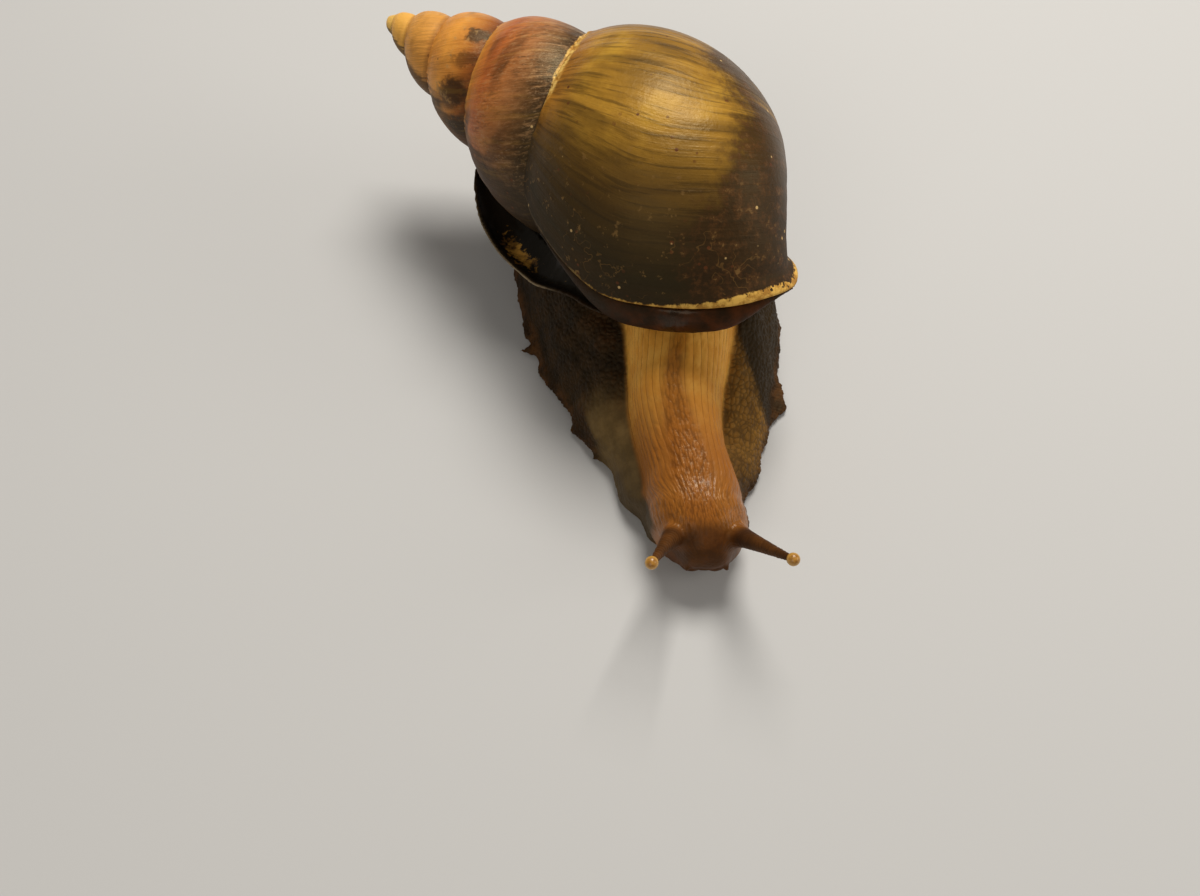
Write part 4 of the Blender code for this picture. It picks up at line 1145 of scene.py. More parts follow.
foot_right, foot_left = curve(FOOT_RIGHT_EDGE), curve(FOOT_LEFT_EDGE)
shoulder, crown = curve(SHOULDER_HEIGHT), curve(CROWN_HEIGHT)
neck_centre, neck_half, neck_top = curve(NECK_CENTRE), curve(NECK_HALF_WIDTH), curve(NECK_TOP)
head_half, head_top, head_underside = curve(HEAD_HALF_WIDTH), curve(HEAD_TOP), curve(HEAD_UNDERSIDE)


def loft(rings):
    """Points and faces of a tube through rings of equally many points, closed at both ends."""
    count = len(rings[0])
    points = [tuple(point) for ring in rings for point in ring]
    faces = []
    for row in range(len(rings) - 1):
        faces += ring_strip(row * count, (row + 1) * count, count)
    for row in (0, len(rings) - 1):
        points.append(tuple(np.mean(rings[row], axis=0)))
        faces += [(row * count + i, row * count + (i + 1) % count, len(points) - 1) for i in range(count)]
    return points, faces


def frill(place, side):
    """How far the ragged edge of the foot stands out at a place, on the side of +X or -X."""
    row = 20 + 10 * side
    reach = 0.0
    for i, (length, height) in enumerate(FRILL_WAVES):
        reach += FRILL * height * float(lumps(place + FRILL_START, length, row + i))
    for centre, lobe_side, length, width in FRINGE_LOBES:
        if lobe_side == side:
            reach += length * max(0.0, 1 - abs(place - centre) / width) ** FRINGE_SHARPNESS
    return reach


def foot_ring(place):
    """Section of the foot: flat sole, thin ragged margins, rounded flanks and the back."""
    right, left = foot_right(place), foot_left(place)
    centre, half, height = neck_centre(place), neck_half(place), shoulder(place)
    spread = min(1.0, (left - right) / NARROW_FOOT)
    right_tip = right - frill(place, -1) * spread
    left_tip = left + frill(place, 1) * spread
    margin = min(MARGIN_HEIGHT, height / 2)
    roll = min(MARGIN_ROLL, (left - right) * MARGIN_ROLL_SHARE)
    top_left = max(centre + half, (left + right) / 2 + LEAST_BACK)
    top_right = min(centre - half, (left + right) / 2 - LEAST_BACK)
    in_front = float(smoothstep((-FRONT_FLANK_FROM - place) / FRONT_FLANK_OVER))
    fullness = FLANK_FULLNESS - FRONT_FLANK_SLIMMING * in_front

    def flank(edge, inner, part):
        lift = FLANK_FOOT_SHARE + (1 - FLANK_FOOT_SHARE) * float(smoothstep(part / FLANK_FOOT_SHARE))
        bulge = math.sin(math.pi / 2 * part) ** fullness * lift
        bottom = margin + MARGIN_STEP
        return edge + (inner - edge) * part, bottom + (height - bottom) * bulge

    ring = [(x, 0.0) for x in np.linspace(right + roll, left - roll, SOLE_POINTS)]
    ring.append((left_tip, margin))
    shares = np.linspace(0, 1, FLANK_POINTS)[1:-1]
    ring += [flank(left, top_left, part) for part in shares]
    rise = crown(place) * smoothstep((place - CROWN_START) / CROWN_START_OVER)
    for part in np.linspace(0, 1, CROWN_POINTS):
        x = top_left + (top_right - top_left) * part
        ring.append((x, height + rise * math.sin(math.pi * part) ** CROWN_FULLNESS))
    ring += [flank(right, top_right, part) for part in shares[::-1]]
    ring.append((right_tip, margin))
    return [(x, place, z) for x, z in ring]


def neck_ring(place):
    """Section of the neck or head: rounded back, and an underside that rounds off in the snout."""
    centre = neck_centre(place)
    forward = float(smoothstep((NECK_FRONT - place) / HEAD_BLEND))
    half = neck_half(place) * (1 - forward) + head_half(place) * forward
    top = neck_top(place) * (1 - forward) + head_top(place) * forward
    bottom = (shoulder(place) - NECK_SINK) * (1 - forward) + head_underside(place) * forward
    travel = np.clip((NECK_FRONT - place) / HEAD_LENGTH, 0, 1)
    into_head = float(smoothstep(math.asin(travel) / (math.pi / 2) * (1 + WAIST_DELAY) - WAIST_DELAY))
    waist = bottom + (top - bottom) * HEAD_WAIST * into_head
    angles = np.linspace(0, math.pi, NECK_TOP_POINTS)
    x = np.sign(np.cos(angles)) * np.abs(np.cos(angles)) ** NECK_ROUNDNESS * half
    z = waist + (top - waist) * np.sin(angles) ** NECK_ROUNDNESS
    under = np.linspace(-UNDER_REACH, UNDER_REACH, NECK_UNDER_POINTS)
    rounded = min(1.0, HEAD_WAIST * into_head / UNDER_ROUNDING)
    drop = np.sqrt(1 - under**2) * rounded + (1 - rounded)
    x = np.concatenate([x, under * half])
    z = np.concatenate([z, waist - (waist - bottom) * drop])
    return np.stack([centre + x, np.full(len(x), place), z], axis=1)


def circle(middle, along, radius, count):
    """Points of a circle round `middle`, square to a unit vector."""
    side = along.cross(Vector((0, 0, 1))).normalized()
    other = along.cross(side)
    turns = [math.tau * i / count for i in range(count)]
    return [middle + (side * math.cos(a) + other * math.sin(a)) * radius for a in turns]


def stalk(root, tip, sizes):
    """A tentacle that flares into the head at its root, tapers, and is faintly ringed."""
    root_radius, tip_radius, flare, count, depth, sink = sizes
    along = (tip - root).normalized()
    start, end = root - along * depth, tip - along * EYE_RADIUS * sink
    axis = (end - start).normalized()
    shares = np.linspace(0, 1, count)
    radii = tip_radius + (root_radius - tip_radius) * (1 - shares) ** STALK_TAPER
    radii += flare * np.exp(-shares / STALK_FLARE_SHARE)
    radii += STALK_RING_HEIGHT * np.sin(shares * STALK_RING_PHASE)
    middles = [start.lerp(end, share) for share in shares]
    return loft([circle(middle, axis, radius, STALK_SIDES) for middle, radius in zip(middles, radii)])


def ball(centre, radii):
    """Points and faces of an ellipsoid."""
    turns = np.linspace(0, math.tau, LIP_LOBE_SIDES, endpoint=False)
    rings = []
    for angle in np.linspace(-LIP_LOBE_END, LIP_LOBE_END, LIP_LOBE_RINGS):
        wide, high = np.cos(angle), np.full(LIP_LOBE_SIDES, np.sin(angle))
        ring = np.stack([wide * np.cos(turns), wide * np.sin(turns), high], axis=1)
        rings.append(np.array(centre) + ring * radii)
    return loft(rings)


def collar_shape():
    """The plug in the mouth of the shell, with the smooth band that stands out past the lip."""
    plug = [(turn, LIP_THICKNESS + COLLAR_CLEARANCE) for turn in APERTURE_TURNS[::-1]]
    loops = [aperture_loop(turn, inset, COLLAR_BACK_INSET) for turn, inset in (*plug, *COLLAR_PROFILE)]
    count = len(loops[0])
    points = [tuple(point) for loop in loops for point in shell_points(loop) - np.array(MOVED)]
    faces = []
    for row in range(len(loops) - 1):
        faces += ring_strip(row * count, (row + 1) * count, count)
    faces += cap(range(count))
    faces += cap(range((len(loops) - 1) * count, len(loops) * count))
    return points, faces


def flap_shape():
    """The cupped flap round the breathing hole, with a thin free rim, thick where it joins the mantle."""
    last = len(FLAP_EDGES) - 1
    steps = np.linspace(0, last, FLAP_STEPS * last + 1)

    def edge(which):
        axes = [curve([(i, ends[which][k]) for i, ends in enumerate(FLAP_EDGES)])(steps) for k in range(3)]
        return np.stack(axes, axis=1)

    shares = np.linspace(0, 1, FLAP_POINTS)
    sink = curve([(share, depth) for share, depth, _ in FLAP_SECTION])(shares)
    thickness = curve([(share, thick) for share, _, thick in FLAP_SECTION])(shares)
    rings = []
    for rim, root in zip(edge(0), edge(1)):
        cup = min(1.0, np.linalg.norm(root - rim) / FLAP_FULL_WIDTH)
        middle = rim + (root - rim) * shares[:, None]
        middle[:, 2] -= sink * cup
        upper, lower = middle.copy(), middle.copy()
        upper[:, 2] += thickness / 2
        lower[:, 2] -= thickness / 2
        rings.append(np.concatenate([upper, lower[::-1]]))
    return loft(rings)


def joined(name, parts):
    """One object that holds several closed meshes."""
    points, faces = [], []
    for more_points, more_faces in parts:
        first = len(points)
        points += list(more_points)
        faces += [tuple(first + i for i in face) for face in more_faces]
    return mesh_object(name, points, faces)


def modified(made):
    """Replaces the object's mesh by what its modifiers make of it."""
    bpy.context.view_layer.update()
    result = bpy.data.meshes.new_from_object(made.evaluated_get(bpy.context.evaluated_depsgraph_get()))
    made.modifiers.clear()
    made.data = result


def grown_together(made):
    """Replaces the mesh by one outer skin round everything in it."""
    remesh = made.modifiers.new("remesh", "REMESH")
    remesh.mode = "VOXEL"
    remesh.voxel_size = SKIN_VOXEL
    modified(made)


def cut_away(made, tool):
    """Cuts one closed mesh from another and deletes the tool."""
    cut = made.modifiers.new("cut", "BOOLEAN")
    cut.operation = "DIFFERENCE"
    cut.object = tool
    cut.solver = "MANIFOLD"
    modified(made)
    bpy.data.objects.remove(tool, do_unlink=True)


def coordinates(mesh):
    """The points of a mesh, one row each."""
    flat = np.empty(len(mesh.vertices) * 3)
    mesh.vertices.foreach_get("co", flat)
    return flat.reshape(-1, 3)


def normals(mesh):
    """The way that each point of a mesh faces, one row each."""
    flat = np.empty(len(mesh.vertices) * 3)
    mesh.vertex_normals.foreach_get("vector", flat)
    return flat.reshape(-1, 3)


def smoothed(points, pairs, rounds, share):
    """Points moved towards the mean of their neighbours, a few times."""
    count = np.bincount(pairs.reshape(-1), minlength=len(points))[:, None]
    for _ in range(rounds):
        total = np.zeros_like(points)
        np.add.at(total, pairs[:, 0], points[pairs[:, 1]])
        np.add.at(total, pairs[:, 1], points[pairs[:, 0]])
        points = points + (total / count - points) * share
    return points


foot_places = np.linspace(FOOT_FRONT, TAIL_TIP, FOOT_RINGS)
head_places = HEAD_FRONT + HEAD_LENGTH * (1 - np.cos(np.linspace(0, math.pi / 2, HEAD_RINGS)))
neck_places = np.concatenate([head_places, np.linspace(NECK_FRONT, NECK_BACK, NECK_RINGS)[1:]])
body_parts = [loft([foot_ring(y) for y in foot_places]), loft([neck_ring(y) for y in neck_places])]
body_parts += [stalk(root, tip, UPPER_STALK) for root, tip in UPPER_TENTACLES]
body_parts += [stalk(root, tip, LOWER_STALK) for root, tip in LOWER_TENTACLES]
body_parts += [ball(centre, radii) for centre, radii in LIP_LOBES]
skin = joined("skin", body_parts)
grown_together(skin)

# The shell, grown by a little and with its mouth closed, is cut from the body before the mantle and
# its flap are added, so that the skin lies against the shell and doesn't pass through it.
points, faces, _, _ = build_shell(False)
filled_shell = mesh_object("filled_shell", points - np.array(MOVED), faces)
filled = coordinates(filled_shell.data) + normals(filled_shell.data) * SHELL_GAP
filled_shell.data.vertices.foreach_set("co", filled.reshape(-1))
cut_away(skin, filled_shell)
print("body after the cut", len(skin.data.polygons), "faces")

body_points = coordinates(skin.data).tolist()
body_faces = [tuple(face.vertices) for face in skin.data.polygons]
bpy.data.objects.remove(skin, do_unlink=True)
collar, flap = collar_shape(), flap_shape()
skin = joined("skin", [(body_points, body_faces), collar, flap])
grown_together(skin)


def is_fine(edge):
    """True in front of the shell and above the sole, where the skin is seen from near by."""
    in_front = max(corner.co.y for corner in edge.verts) < FINE_SKIN_BACK
    return in_front and min(corner.co.z for corner in edge.verts) > SOLE_EDGE


work = bmesh.new()
work.from_mesh(skin.data)
fine = [edge for edge in work.edges if is_fine(edge)]
bmesh.ops.subdivide_edges(work, edges=fine, cuts=1, use_grid_fill=True)
bmesh.ops.triangulate(work, faces=[face for face in work.faces if len(face.verts) > 4])
work.to_mesh(skin.data)
work.free()

pairs = np.empty(len(skin.data.edges) * 2, np.int32)
skin.data.edges.foreach_get("vertices", pairs)
points = smoothed(coordinates(skin.data), pairs.reshape(-1, 2), SMOOTHING_ROUNDS, SMOOTHING_SHARE)
skin.data.vertices.foreach_set("co", points.reshape(-1))
skin.data.update()
outward = normals(skin.data)
print("skin", len(points), "points")


def grid_numbers(cells, seed):
    """Three random numbers from 0 to 1 for each cell of a grid."""
    key = (cells[:, 0] * 73856093) ^ (cells[:, 1] * 19349663) ^ (cells[:, 2] * 83492791) ^ (seed * 2654435)
    numbers = []
    for _ in range(3):
        key = (key & 0x7FFFFFFF) * 1103515245 + 12345
        key = key ^ (key >> 15)
        numbers.append((key & 0xFFFF) / 65535)
    return np.stack(numbers, axis=1)


def granules(points, size, seed):
    """Rounded grains with creases between them: 1 on top of a grain and 0 in a crease."""
    spots = points / np.asarray(size)
    home = np.floor(spots).astype(np.int64)
    nearest = np.full(len(points), 9.0)
    second = np.full(len(points), 9.0)
    for step in np.ndindex(3, 3, 3):
        cell = home + np.array(step) - 1
        distance = np.linalg.norm(cell + 0.1 + 0.8 * grid_numbers(cell, seed) - spots, axis=1)
        second = np.minimum(second, np.maximum(nearest, distance))
        nearest = np.minimum(nearest, distance)
    return smoothstep((second - nearest) / 0.42)


def billows(points, size, seed):
    """Soft lumps from -1 to 1, of about the given size."""
    spots = points / np.asarray(size)
    home = np.floor(spots).astype(np.int64)
    part = smoothstep(spots - home)
    total = np.zeros(len(points))
    for step in np.ndindex(2, 2, 2):
        weight = np.prod(np.where(step, part, 1 - part), axis=1)
        total += weight * grid_numbers(home + np.array(step), seed)[:, 0]
    return 2 * total - 1


def nearest_face(points, parts, reach):
    """For each point, the index of the face of a lofted part within reach, or -1."""
    tree = BVHTree.FromPolygons([tuple(point) for point in parts[0]], parts[1])
    corners = np.array(parts[0])
    near = np.all((points > corners.min(axis=0) - reach) & (points < corners.max(axis=0) + reach), axis=1)
    found = np.full(len(points), -1)
    for i in np.flatnonzero(near):
        _, _, index, _ = tree.find_nearest(points[i], reach)
        if index is not None:
            found[i] = index
    return found


def added_lumps(points, sets):
    """Soft lumps of one or more sizes added up, each given by its height, size and seed."""
    return sum(height * billows(points, size, seed) for height, size, seed in sets)


x, y, z = points.T
centre = neck_centre(y)
front = blend(y, *HEAD_ZONE)
half = neck_half(y) * (1 - front) + head_half(y) * front
head_waist = head_underside(y) + HEAD_WAIST * (head_top(y) - head_underside(y))
waist = shoulder(y) * (1 - front) + head_waist * front
round_neck = np.arctan2(np.maximum(z - waist, 0), x - centre)
on_neck = blend(z - waist, *ABOVE_WAIST) * blend(np.abs(x - centre) / half, *WITHIN_NECK)
on_neck = np.maximum(on_neck, blend(y, *WHOLE_HEAD)) * blend(y, *OUT_OF_SHELL)
along_back = y + HEAD_SLOPE_SHARE * (head_top(y) - head_top(NECK_FRONT))

feeler = np.zeros(len(points))
along_feeler = np.zeros(len(points))
for root, tip in UPPER_TENTACLES:
    axis = np.array(tip - root)
    share = np.clip((points - np.array(root)) @ axis / (axis @ axis), 0, 1)
    away = np.linalg.norm(points - np.array(root) - share[:, None] * axis, axis=1)
    here = blend(away, *FEELER_ZONE) * blend(share, *FEELER_START)
    along_feeler = np.where(here > feeler, share, along_feeler)
    feeler = np.maximum(feeler, here)

# The mantle: the band by the rows of the collar, and the flap by the place from its rim.
collar_face = nearest_face(points, collar, MANTLE_REACH)
flap_face = nearest_face(points, flap, MANTLE_REACH)
loop_length = len(aperture_loop(0.0, 0.001, 0.001))
band_row = np.where(collar_face >= 0, collar_face // loop_length, -1)
flap_length = 2 * FLAP_POINTS
flap_place = np.where(flap_face >= 0, flap_face % flap_length, -1)
flap_share = np.minimum(flap_place, flap_length - 1 - flap_place) / (FLAP_POINTS - 1)
flap_step = (flap_face // flap_length) / (FLAP_STEPS * (len(FLAP_EDGES) - 1))
on_flap_top = (flap_face >= 0) & (flap_place < FLAP_POINTS) & (outward[:, 2] > FLAP_TOP_TILT)
mantle = ((collar_face >= 0) & (z > waist - BAND_UNDER_WAIST)) | (flap_face >= 0)
hollow = np.where(on_flap_top, blend(flap_share, *HOLLOW_ZONE), 0.0)
rim = np.where(flap_face >= 0, blend(flap_share, *RIM_ZONE), 0.0) * blend(x, *RIM_RIGHT)
# A painted amber reflection on the top of the flap's hollow, at a set place.
amber = blend(np.abs(flap_step - REFLECTION_STEP), REFLECTION_STEP_REACH, 0)
amber *= blend(np.abs(flap_share - REFLECTION_SHARE), REFLECTION_SHARE_REACH, 0)
amber = np.where(on_flap_top, amber, 0.0)

# The foot: its thin margins, its sole, its flanks, and a patch of painted light on the front of its right
# flank.
margin = np.maximum(blend(x - foot_right(y), *MARGIN_ZONE), blend(foot_left(y) - x, *MARGIN_ZONE))
margin *= blend(z, *MARGIN_TOP)
sole = blend(z, *SOLE_ZONE)
flank = (1 - on_neck) * (1 - feeler) * (1 - mantle) * (1 - sole)
# A patch of light on the right flank near the front, painted into the skin's colour, with a wandering edge.
patchy = added_lumps(points, LIGHT_EDGE_WANDER)
painted_light_edge = (x - LIGHT_EDGE_X + LIGHT_EDGE_SLANT * (y - LIGHT_EDGE_Y) + patchy) / LIGHT_EDGE_WIDTH
painted_light_edge += blend(y, *PAINTED_LIGHT_FRONT)
pale = (x < centre) * blend(y - patchy, *PAINTED_LIGHT_ZONE) * smoothstep(painted_light_edge) * flank
margin *= 1 - pale

# Folds run along the neck and are broken into grains on its middle and on the head.
spread = np.stack([round_neck * NECK_RADIUS, y, z * 0], axis=1)
phase = round_neck / math.pi * NECK_FOLDS + added_lumps(spread, FOLD_WANDER)
ridge = np.abs(np.sin(math.pi * phase)) ** FOLD_FLATNESS
laid_flat = np.stack([phase / NECK_FOLDS * NECK_GIRTH, along_back, z * 0], axis=1)
breaks = granules(laid_flat, FOLD_BREAK_SIZE, 33)
grains = granules(laid_flat, HEAD_GRAIN_SIZE, 34)
fine_grains = granules(points, FINE_GRAIN_SIZE, 35)
shifted = points + added_lumps(points, TUBERCLE_WANDER)[:, None]
tubercles = granules(shifted, TUBERCLE_SIZE, 37)
off_middle = np.abs(round_neck - math.pi / 2 - STRIPE_LEAN + added_lumps(spread, STRIPE_WANDER))
stripe_half = STRIPE_HALF + STRIPE_SPREAD * blend(y, *STRIPE_SPREADING)
median = blend(off_middle, stripe_half + STRIPE_EDGE, stripe_half) * on_neck * (1 - feeler)
granular = np.clip(np.maximum(median, blend(y, *GRAINY_HEAD)), 0, 1)

neck_relief = (FOLD_HEIGHT * ridge + FOLD_BREAK_HEIGHT * breaks) * (1 - granular)
neck_relief += (HEAD_GRAIN_HEIGHT * grains + HEAD_FOLD_HEIGHT * ridge) * granular
flank_relief = TUBERCLE_HEIGHT * tubercles + TUBERCLE_GRAIN_HEIGHT * fine_grains
flank_relief = (flank_relief + added_lumps(points, FLANK_LUMPS)) * (1 - LIGHT_PATCH_SMOOTHNESS * pale)
creases = np.abs(np.sin(MARGIN_CREASE_PHASE * y + added_lumps(points, MARGIN_CREASE_WANDER)))
feeler_relief = FEELER_GRAIN_HEIGHT * fine_grains
feeler_relief += FEELER_RING_HEIGHT * np.sin(along_feeler * FEELER_RING_PHASE)
relief = on_neck * (1 - feeler) * neck_relief + feeler * feeler_relief + flank * flank_relief
relief = np.where(mantle, added_lumps(points, MANTLE_LUMPS), relief)
relief += flank * margin * MARGIN_CREASE_HEIGHT * creases
relief = np.where(z < SOLE_EDGE, 0.0, relief)
points = points + outward * (relief - np.where(mantle, 0.0, RELIEF_SINK))[:, None]
points[:, 2] = np.maximum(points[:, 2], 0.0)
# How deep in a crease each point lies: the flanks are darkened there with painted shade.
crease = 1 - np.where(on_neck > 0.5, (0.5 + 0.5 * breaks) * (1 - granular) + grains * granular, tubercles)
points = np.clip(points + np.array(MOVED), cad_low, cad_high)
skin.data.vertices.foreach_set("co", points.reshape(-1))
skin.data.update()
skin.data.shade_smooth()
for name, values in (
    ("neck", on_neck),
    ("median", median),
    ("granular", granular),
    ("feeler", feeler),
    ("along_feeler", along_feeler),
    ("mantle", mantle),
    ("band", np.where(band_row >= 0, band_row / len(COLLAR_PROFILE + APERTURE_TURNS), 0.0)),
    ("hollow", hollow),
    ("amber", amber),
    ("band_left", blend(x, *BAND_LEFT_ZONE)),
    ("rim", rim),
    ("margin", margin * flank),
    ("pale", pale),
    ("crease", crease),
    ("left", blend(x - centre, *LEFT_ZONE)),
    ("folds", phase),
    ("along_back", along_back),
    ("upper_neck", blend(y, *UPPER_NECK_ZONE)),
    ("behind", blend(y + BEHIND_SLANT * (x - BEHIND_PIVOT), *BEHIND_ZONE)),
    ("sole", sole),
    ("lower_neck", blend(y, *LOWER_NECK_ZONE)),
    ("flank_front", blend(y, *FLANK_FRONT_ZONE)),
    ("snout", blend(y, *SNOUT_ZONE)),
):
    store(skin.data, name, values)

FLESH_GRAIN_DEPTH = 0.00006
FLESH_SPECULAR = 0.25
FLESH_TINT = (1.0, 0.80, 0.50, 1.0)
FLESH_COAT_ROUGHNESS = 0.16
# The tans hold painted light; the fold and crease browns are painted shade.
NECK_TANS_AND_PAINTED_LIGHT, NECK_FOLD_SHADE = (srgb(236, 166, 66), srgb(250, 188, 86)), srgb(132, 80, 28)
STRIPE_BROWNS = (srgb(170, 106, 36), srgb(104, 61, 19))
HEAD_BROWN, HEAD_CREASE_SHADE = srgb(146, 87, 30), srgb(84, 45, 15)
SNOUT_BROWNS = (srgb(56, 29, 12), srgb(84, 46, 18))
# The right flank's browns are partly its own colour and partly painted shade under the shell; the olive's
# shade and the crease brown are painted shade.
DARK_FLANK_AND_SHADE, DARK_FLANK_PATCH = (srgb(28, 19, 11), srgb(58, 40, 22)), srgb(78, 49, 25)
OLIVE_FLANK = (srgb(112, 77, 27), srgb(146, 105, 44))
OLIVE_PAINTED_SHADE, OLIVE_IN_FRONT = srgb(32, 22, 10), srgb(60, 38, 15)
FLANK_CREASE_SHADE = srgb(34, 24, 12)
# Colours of the painted light on the right flank, darker at its front.
PAINTED_LIGHT_BROWNS, PAINTED_LIGHT_IN_FRONT = (srgb(98, 78, 46), srgb(128, 104, 64)), srgb(62, 51, 36)
FRINGE_BROWNS = (srgb(50, 31, 16), srgb(98, 62, 31))
MANTLE_BROWNS, BAND_EDGE, BAND_LEFT = (srgb(32, 13, 2), srgb(74, 34, 8)), srgb(104, 78, 42), srgb(32, 22, 11)
HOLLOW_BLACK, PAINTED_REFLECTION_AMBERS = srgb(10, 7, 4), (srgb(110, 76, 30), srgb(214, 160, 70))
FLAP_RIM = srgb(150, 132, 104)
FEELER_BROWNS, FEELER_ROOT = (srgb(88, 52, 20), srgb(62, 35, 13)), srgb(58, 32, 16)
SOLE_TAN = srgb(150, 120, 84)

flesh = Finish("skin")
place = flesh.place()
crease, median, left = flesh.attribute("crease"), flesh.attribute("median"), flesh.attribute("left")
neck, feeler, snout = flesh.attribute("neck"), flesh.attribute("feeler"), flesh.attribute("snout")
folds, flank_front = flesh.attribute("folds"), flesh.attribute("flank_front")
mottle = flesh.noise(place, 260.0, 4.0, 0.6)
patches = flesh.noise(place, 85.0, 3.0, 0.55)
# Noise that breaks up the painted reflection.
reflection_breakup = flesh.noise(place, 620.0, 4.0, 0.65)
grain = flesh.noise(place, 2400.0, 3.0, 0.6)
pores = flesh.cells(place, 1700.0)


def mottled(low, high, shades):
    """Two shades in small soft patches."""
    return flesh.mix(flesh.between(mottle, low, high), *shades)


# Neck and head: tan folds with a brown stripe, turning into the dark grains of the head. The tan is lighter
# than the skin's own, as painted light on the upper neck where the shell's shadow falls, and the folds and
# the gaps between grains are darkened with painted shade.
swing = flesh.node("ShaderNodeMath", {"operation": "SINE"}, {0: folds * math.pi})
fold = 1 - flesh.node("ShaderNodeMath", {"operation": "ABSOLUTE"}, {0: swing}) ** FOLD_FLATNESS
in_fold = flesh.between(fold, 0.35, 0.85)
back = flesh.node("ShaderNodeCombineXYZ", {}, {0: folds, 1: flesh.attribute("along_back"), 2: 0.0})
long_grains = flesh.cells(flesh.stretched(back, (2.8, 600.0, 1.0)), 1.0)
between_grains = flesh.between(long_grains, 0.40, 0.80)
granular = flesh.attribute("granular") * neck * (1 - feeler) * (1 - 0.8 * snout)
# The stripe fades on the upper neck: partly painted light where the shell's shadow falls.
stripe_share = median * (0.85 - 0.65 * flesh.attribute("upper_neck"))
neck_colour = flesh.layered(
    mottled(0.35, 0.7, NECK_TANS_AND_PAINTED_LIGHT),
    (in_fold * 0.7, NECK_FOLD_SHADE),
    (stripe_share, flesh.mix(between_grains * 0.7, *STRIPE_BROWNS)),
)
head_colour = flesh.layered(
    flesh.mix(between_grains * granular * 0.55, HEAD_BROWN, HEAD_CREASE_SHADE),
    (in_fold * (1 - granular) * 0.5, HEAD_CREASE_SHADE),
)
neck_colour = flesh.layered(
    neck_colour,
    (flesh.attribute("lower_neck") * 0.94, head_colour),
    (snout * 0.9, mottled(0.35, 0.65, SNOUT_BROWNS)),
)

# Flanks: nearly black on the right, partly the skin's own colour and partly painted shade under the shell;
# olive on the left, darkened towards the back with painted shade under the shell; the creases between grains
# darkened with painted shade; and a patch of painted light near the front on the right.
dark_flank_and_shade = flesh.layered(
    mottled(0.3, 0.7, DARK_FLANK_AND_SHADE),
    (flesh.between(patches, 0.54, 0.68) * 0.5, DARK_FLANK_PATCH),
)
olive_flank = flesh.layered(
    mottled(0.3, 0.7, OLIVE_FLANK),
    (flesh.between(flesh.attribute("behind"), 0.2, 0.8) * 0.95, OLIVE_PAINTED_SHADE),
    (flank_front * 0.85, OLIVE_IN_FRONT),
)
painted_light_colour = flesh.layered(mottled(0.3, 0.7, PAINTED_LIGHT_BROWNS), (flank_front * 0.75, PAINTED_LIGHT_IN_FRONT))
flank_colour = flesh.layered(
    flesh.mix(left, dark_flank_and_shade, olive_flank),
    (flesh.between(crease, 0.35, 1.0) * 0.45, FLANK_CREASE_SHADE),
    (flesh.attribute("pale") * 0.85, painted_light_colour),
    (flesh.attribute("margin") * 0.7, mottled(0.35, 0.65, FRINGE_BROWNS)),
)

# Mantle: a dark band, and the flap's black hollow with a painted amber reflection broken into flecks, and a
# pale rim.
amber = flesh.between(flesh.attribute("amber") + 2.4 * (reflection_breakup - 0.5), 0.40, 0.80)
hollow_colour = flesh.mix(amber, HOLLOW_BLACK, mottled(0.4, 0.6, PAINTED_REFLECTION_AMBERS))
mantle_colour = flesh.layered(
    mottled(0.35, 0.7, MANTLE_BROWNS),
    (flesh.between(flesh.attribute("band"), 0.84, 0.90), BAND_EDGE),
    (flesh.attribute("band_left") * 0.8, BAND_LEFT),
    (flesh.attribute("hollow"), hollow_colour),
    (flesh.attribute("rim"), FLAP_RIM),
)
feeler_colour = flesh.layered(
    mottled(0.35, 0.7, FEELER_BROWNS),
    (flesh.between(flesh.attribute("along_feeler"), 0.5, 0.05) * left, FEELER_ROOT),
)
flesh.surface(
    Base_Color=flesh.layered(
        flank_colour,
        (neck, neck_colour),
        (feeler, feeler_colour),
        (flesh.attribute("mantle"), mantle_colour),
        (flesh.attribute("sole"), SOLE_TAN),
    ),
    Roughness=0.60 + 0.12 * (mottle - 0.5) - 0.32 * granular,
    Coat_Weight=granular * 0.25 + flesh.attribute("hollow") * 0.3,
    Coat_Roughness=FLESH_COAT_ROUGHNESS,
    Normal=flesh.bump(grain + pores * 0.4 + 2.6 * granular * (1 - long_grains), FLESH_GRAIN_DEPTH, 0.8),
    Specular_IOR_Level=FLESH_SPECULAR,
    Specular_Tint=FLESH_TINT,
)
skin.data.materials.append(flesh.material)
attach(skin, "root")
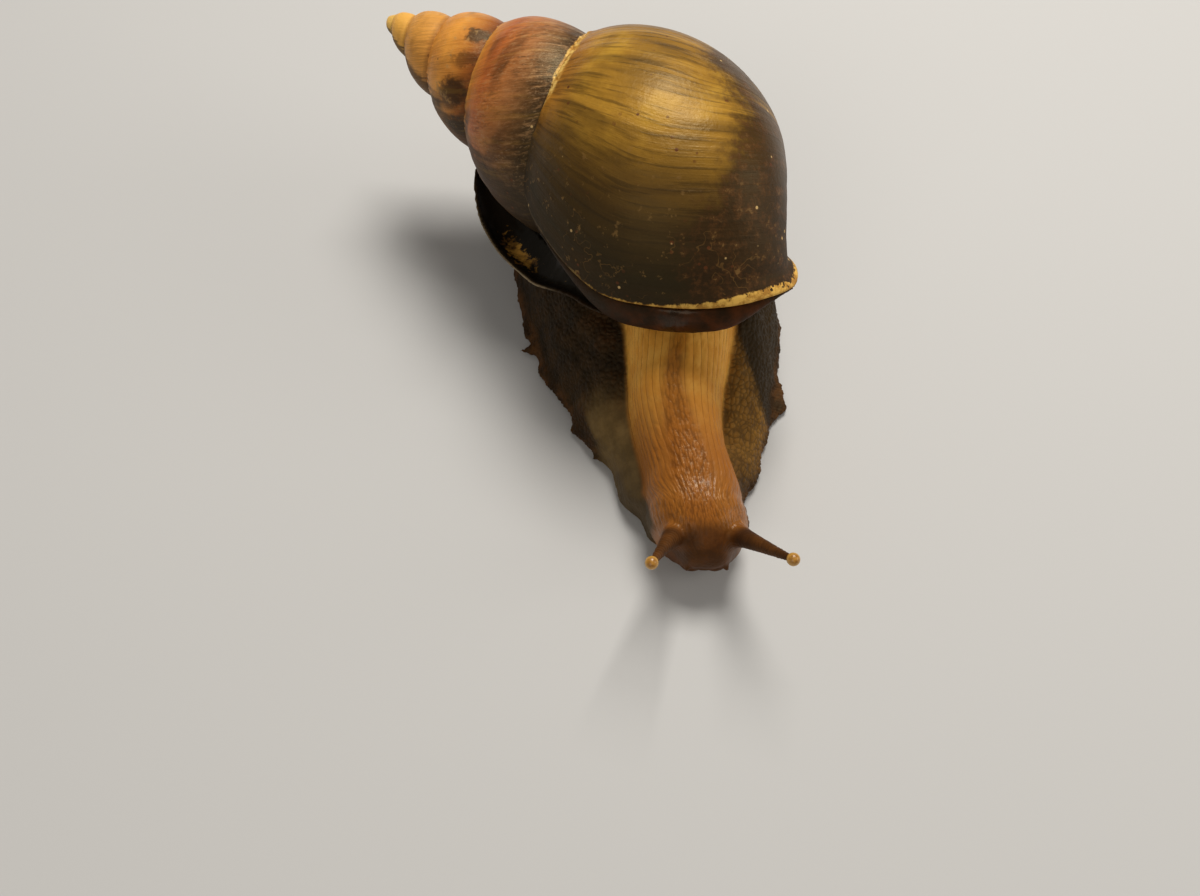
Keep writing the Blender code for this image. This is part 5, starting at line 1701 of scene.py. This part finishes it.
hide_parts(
    "mantle_collar",
    "neck",
    "head",
    "lips",
    "foot_front",
    "foot_middle",
    "tail",
    "upper_tentacle_right",
    "upper_tentacle_left",
    "lower_tentacle_right",
    "lower_tentacle_left",
)


# Eye bulbs
# A snail's eye sits in a round bulb at the tip of each upper tentacle: a clear yellowish skin drawn
# tight over a pale ball, which the end of the stalk runs into.
BULB_BROWNS, BULB_YELLOW = (srgb(150, 101, 33), srgb(188, 136, 54)), srgb(196, 148, 62)
BULB_GRAIN_DEPTH = 0.00003
BULB_COAT, BULB_COAT_ROUGHNESS = 0.3, 0.15
BULB_FROM, BULB_TO = -0.9, 1.5
BULB_RINGS, BULB_SIDES = 30, 40
BULB_CORE_SIDE, BULB_CORE_POWER = np.array((0.0, -0.37, 0.93)), 1.5

bulb_finish = Finish("eye_bulb")
bulb_place = bulb_finish.place()
bulb_mottle = bulb_finish.noise(bulb_place, 1500.0, 3.0, 0.6)
bulb_core = bulb_finish.mix(bulb_finish.between(bulb_mottle, 0.35, 0.65), *BULB_BROWNS)
outer_part = bulb_finish.between(bulb_finish.attribute("outer"), 0.25, 0.75)
bulb_finish.surface(
    Base_Color=bulb_finish.mix(outer_part, bulb_core, BULB_YELLOW),
    Roughness=0.3 + 0.15 * bulb_mottle,
    Coat_Weight=BULB_COAT,
    Coat_Roughness=BULB_COAT_ROUGHNESS,
    Normal=bulb_finish.bump(bulb_finish.noise(bulb_place, 5200.0), BULB_GRAIN_DEPTH, 0.6),
)
for side, (root, tip) in zip(("right", "left"), UPPER_TENTACLES):
    along = (tip - root).normalized()
    rings = []
    for angle in np.linspace(BULB_FROM, BULB_TO, BULB_RINGS):
        middle = tip + MOVED + along * EYE_RADIUS * math.sin(angle)
        rings.append(circle(middle, along, EYE_RADIUS * math.cos(angle), BULB_SIDES))
    eye = mesh_object(f"eye_bulb_{side}", *loft(rings))
    store(eye.data, "outer", 1 - np.clip(normals(eye.data) @ BULB_CORE_SIDE, 0, 1) ** BULB_CORE_POWER)
    eye.data.materials.append(bulb_finish.material)
    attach(eye, "root")
    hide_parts(f"eye_{side}")
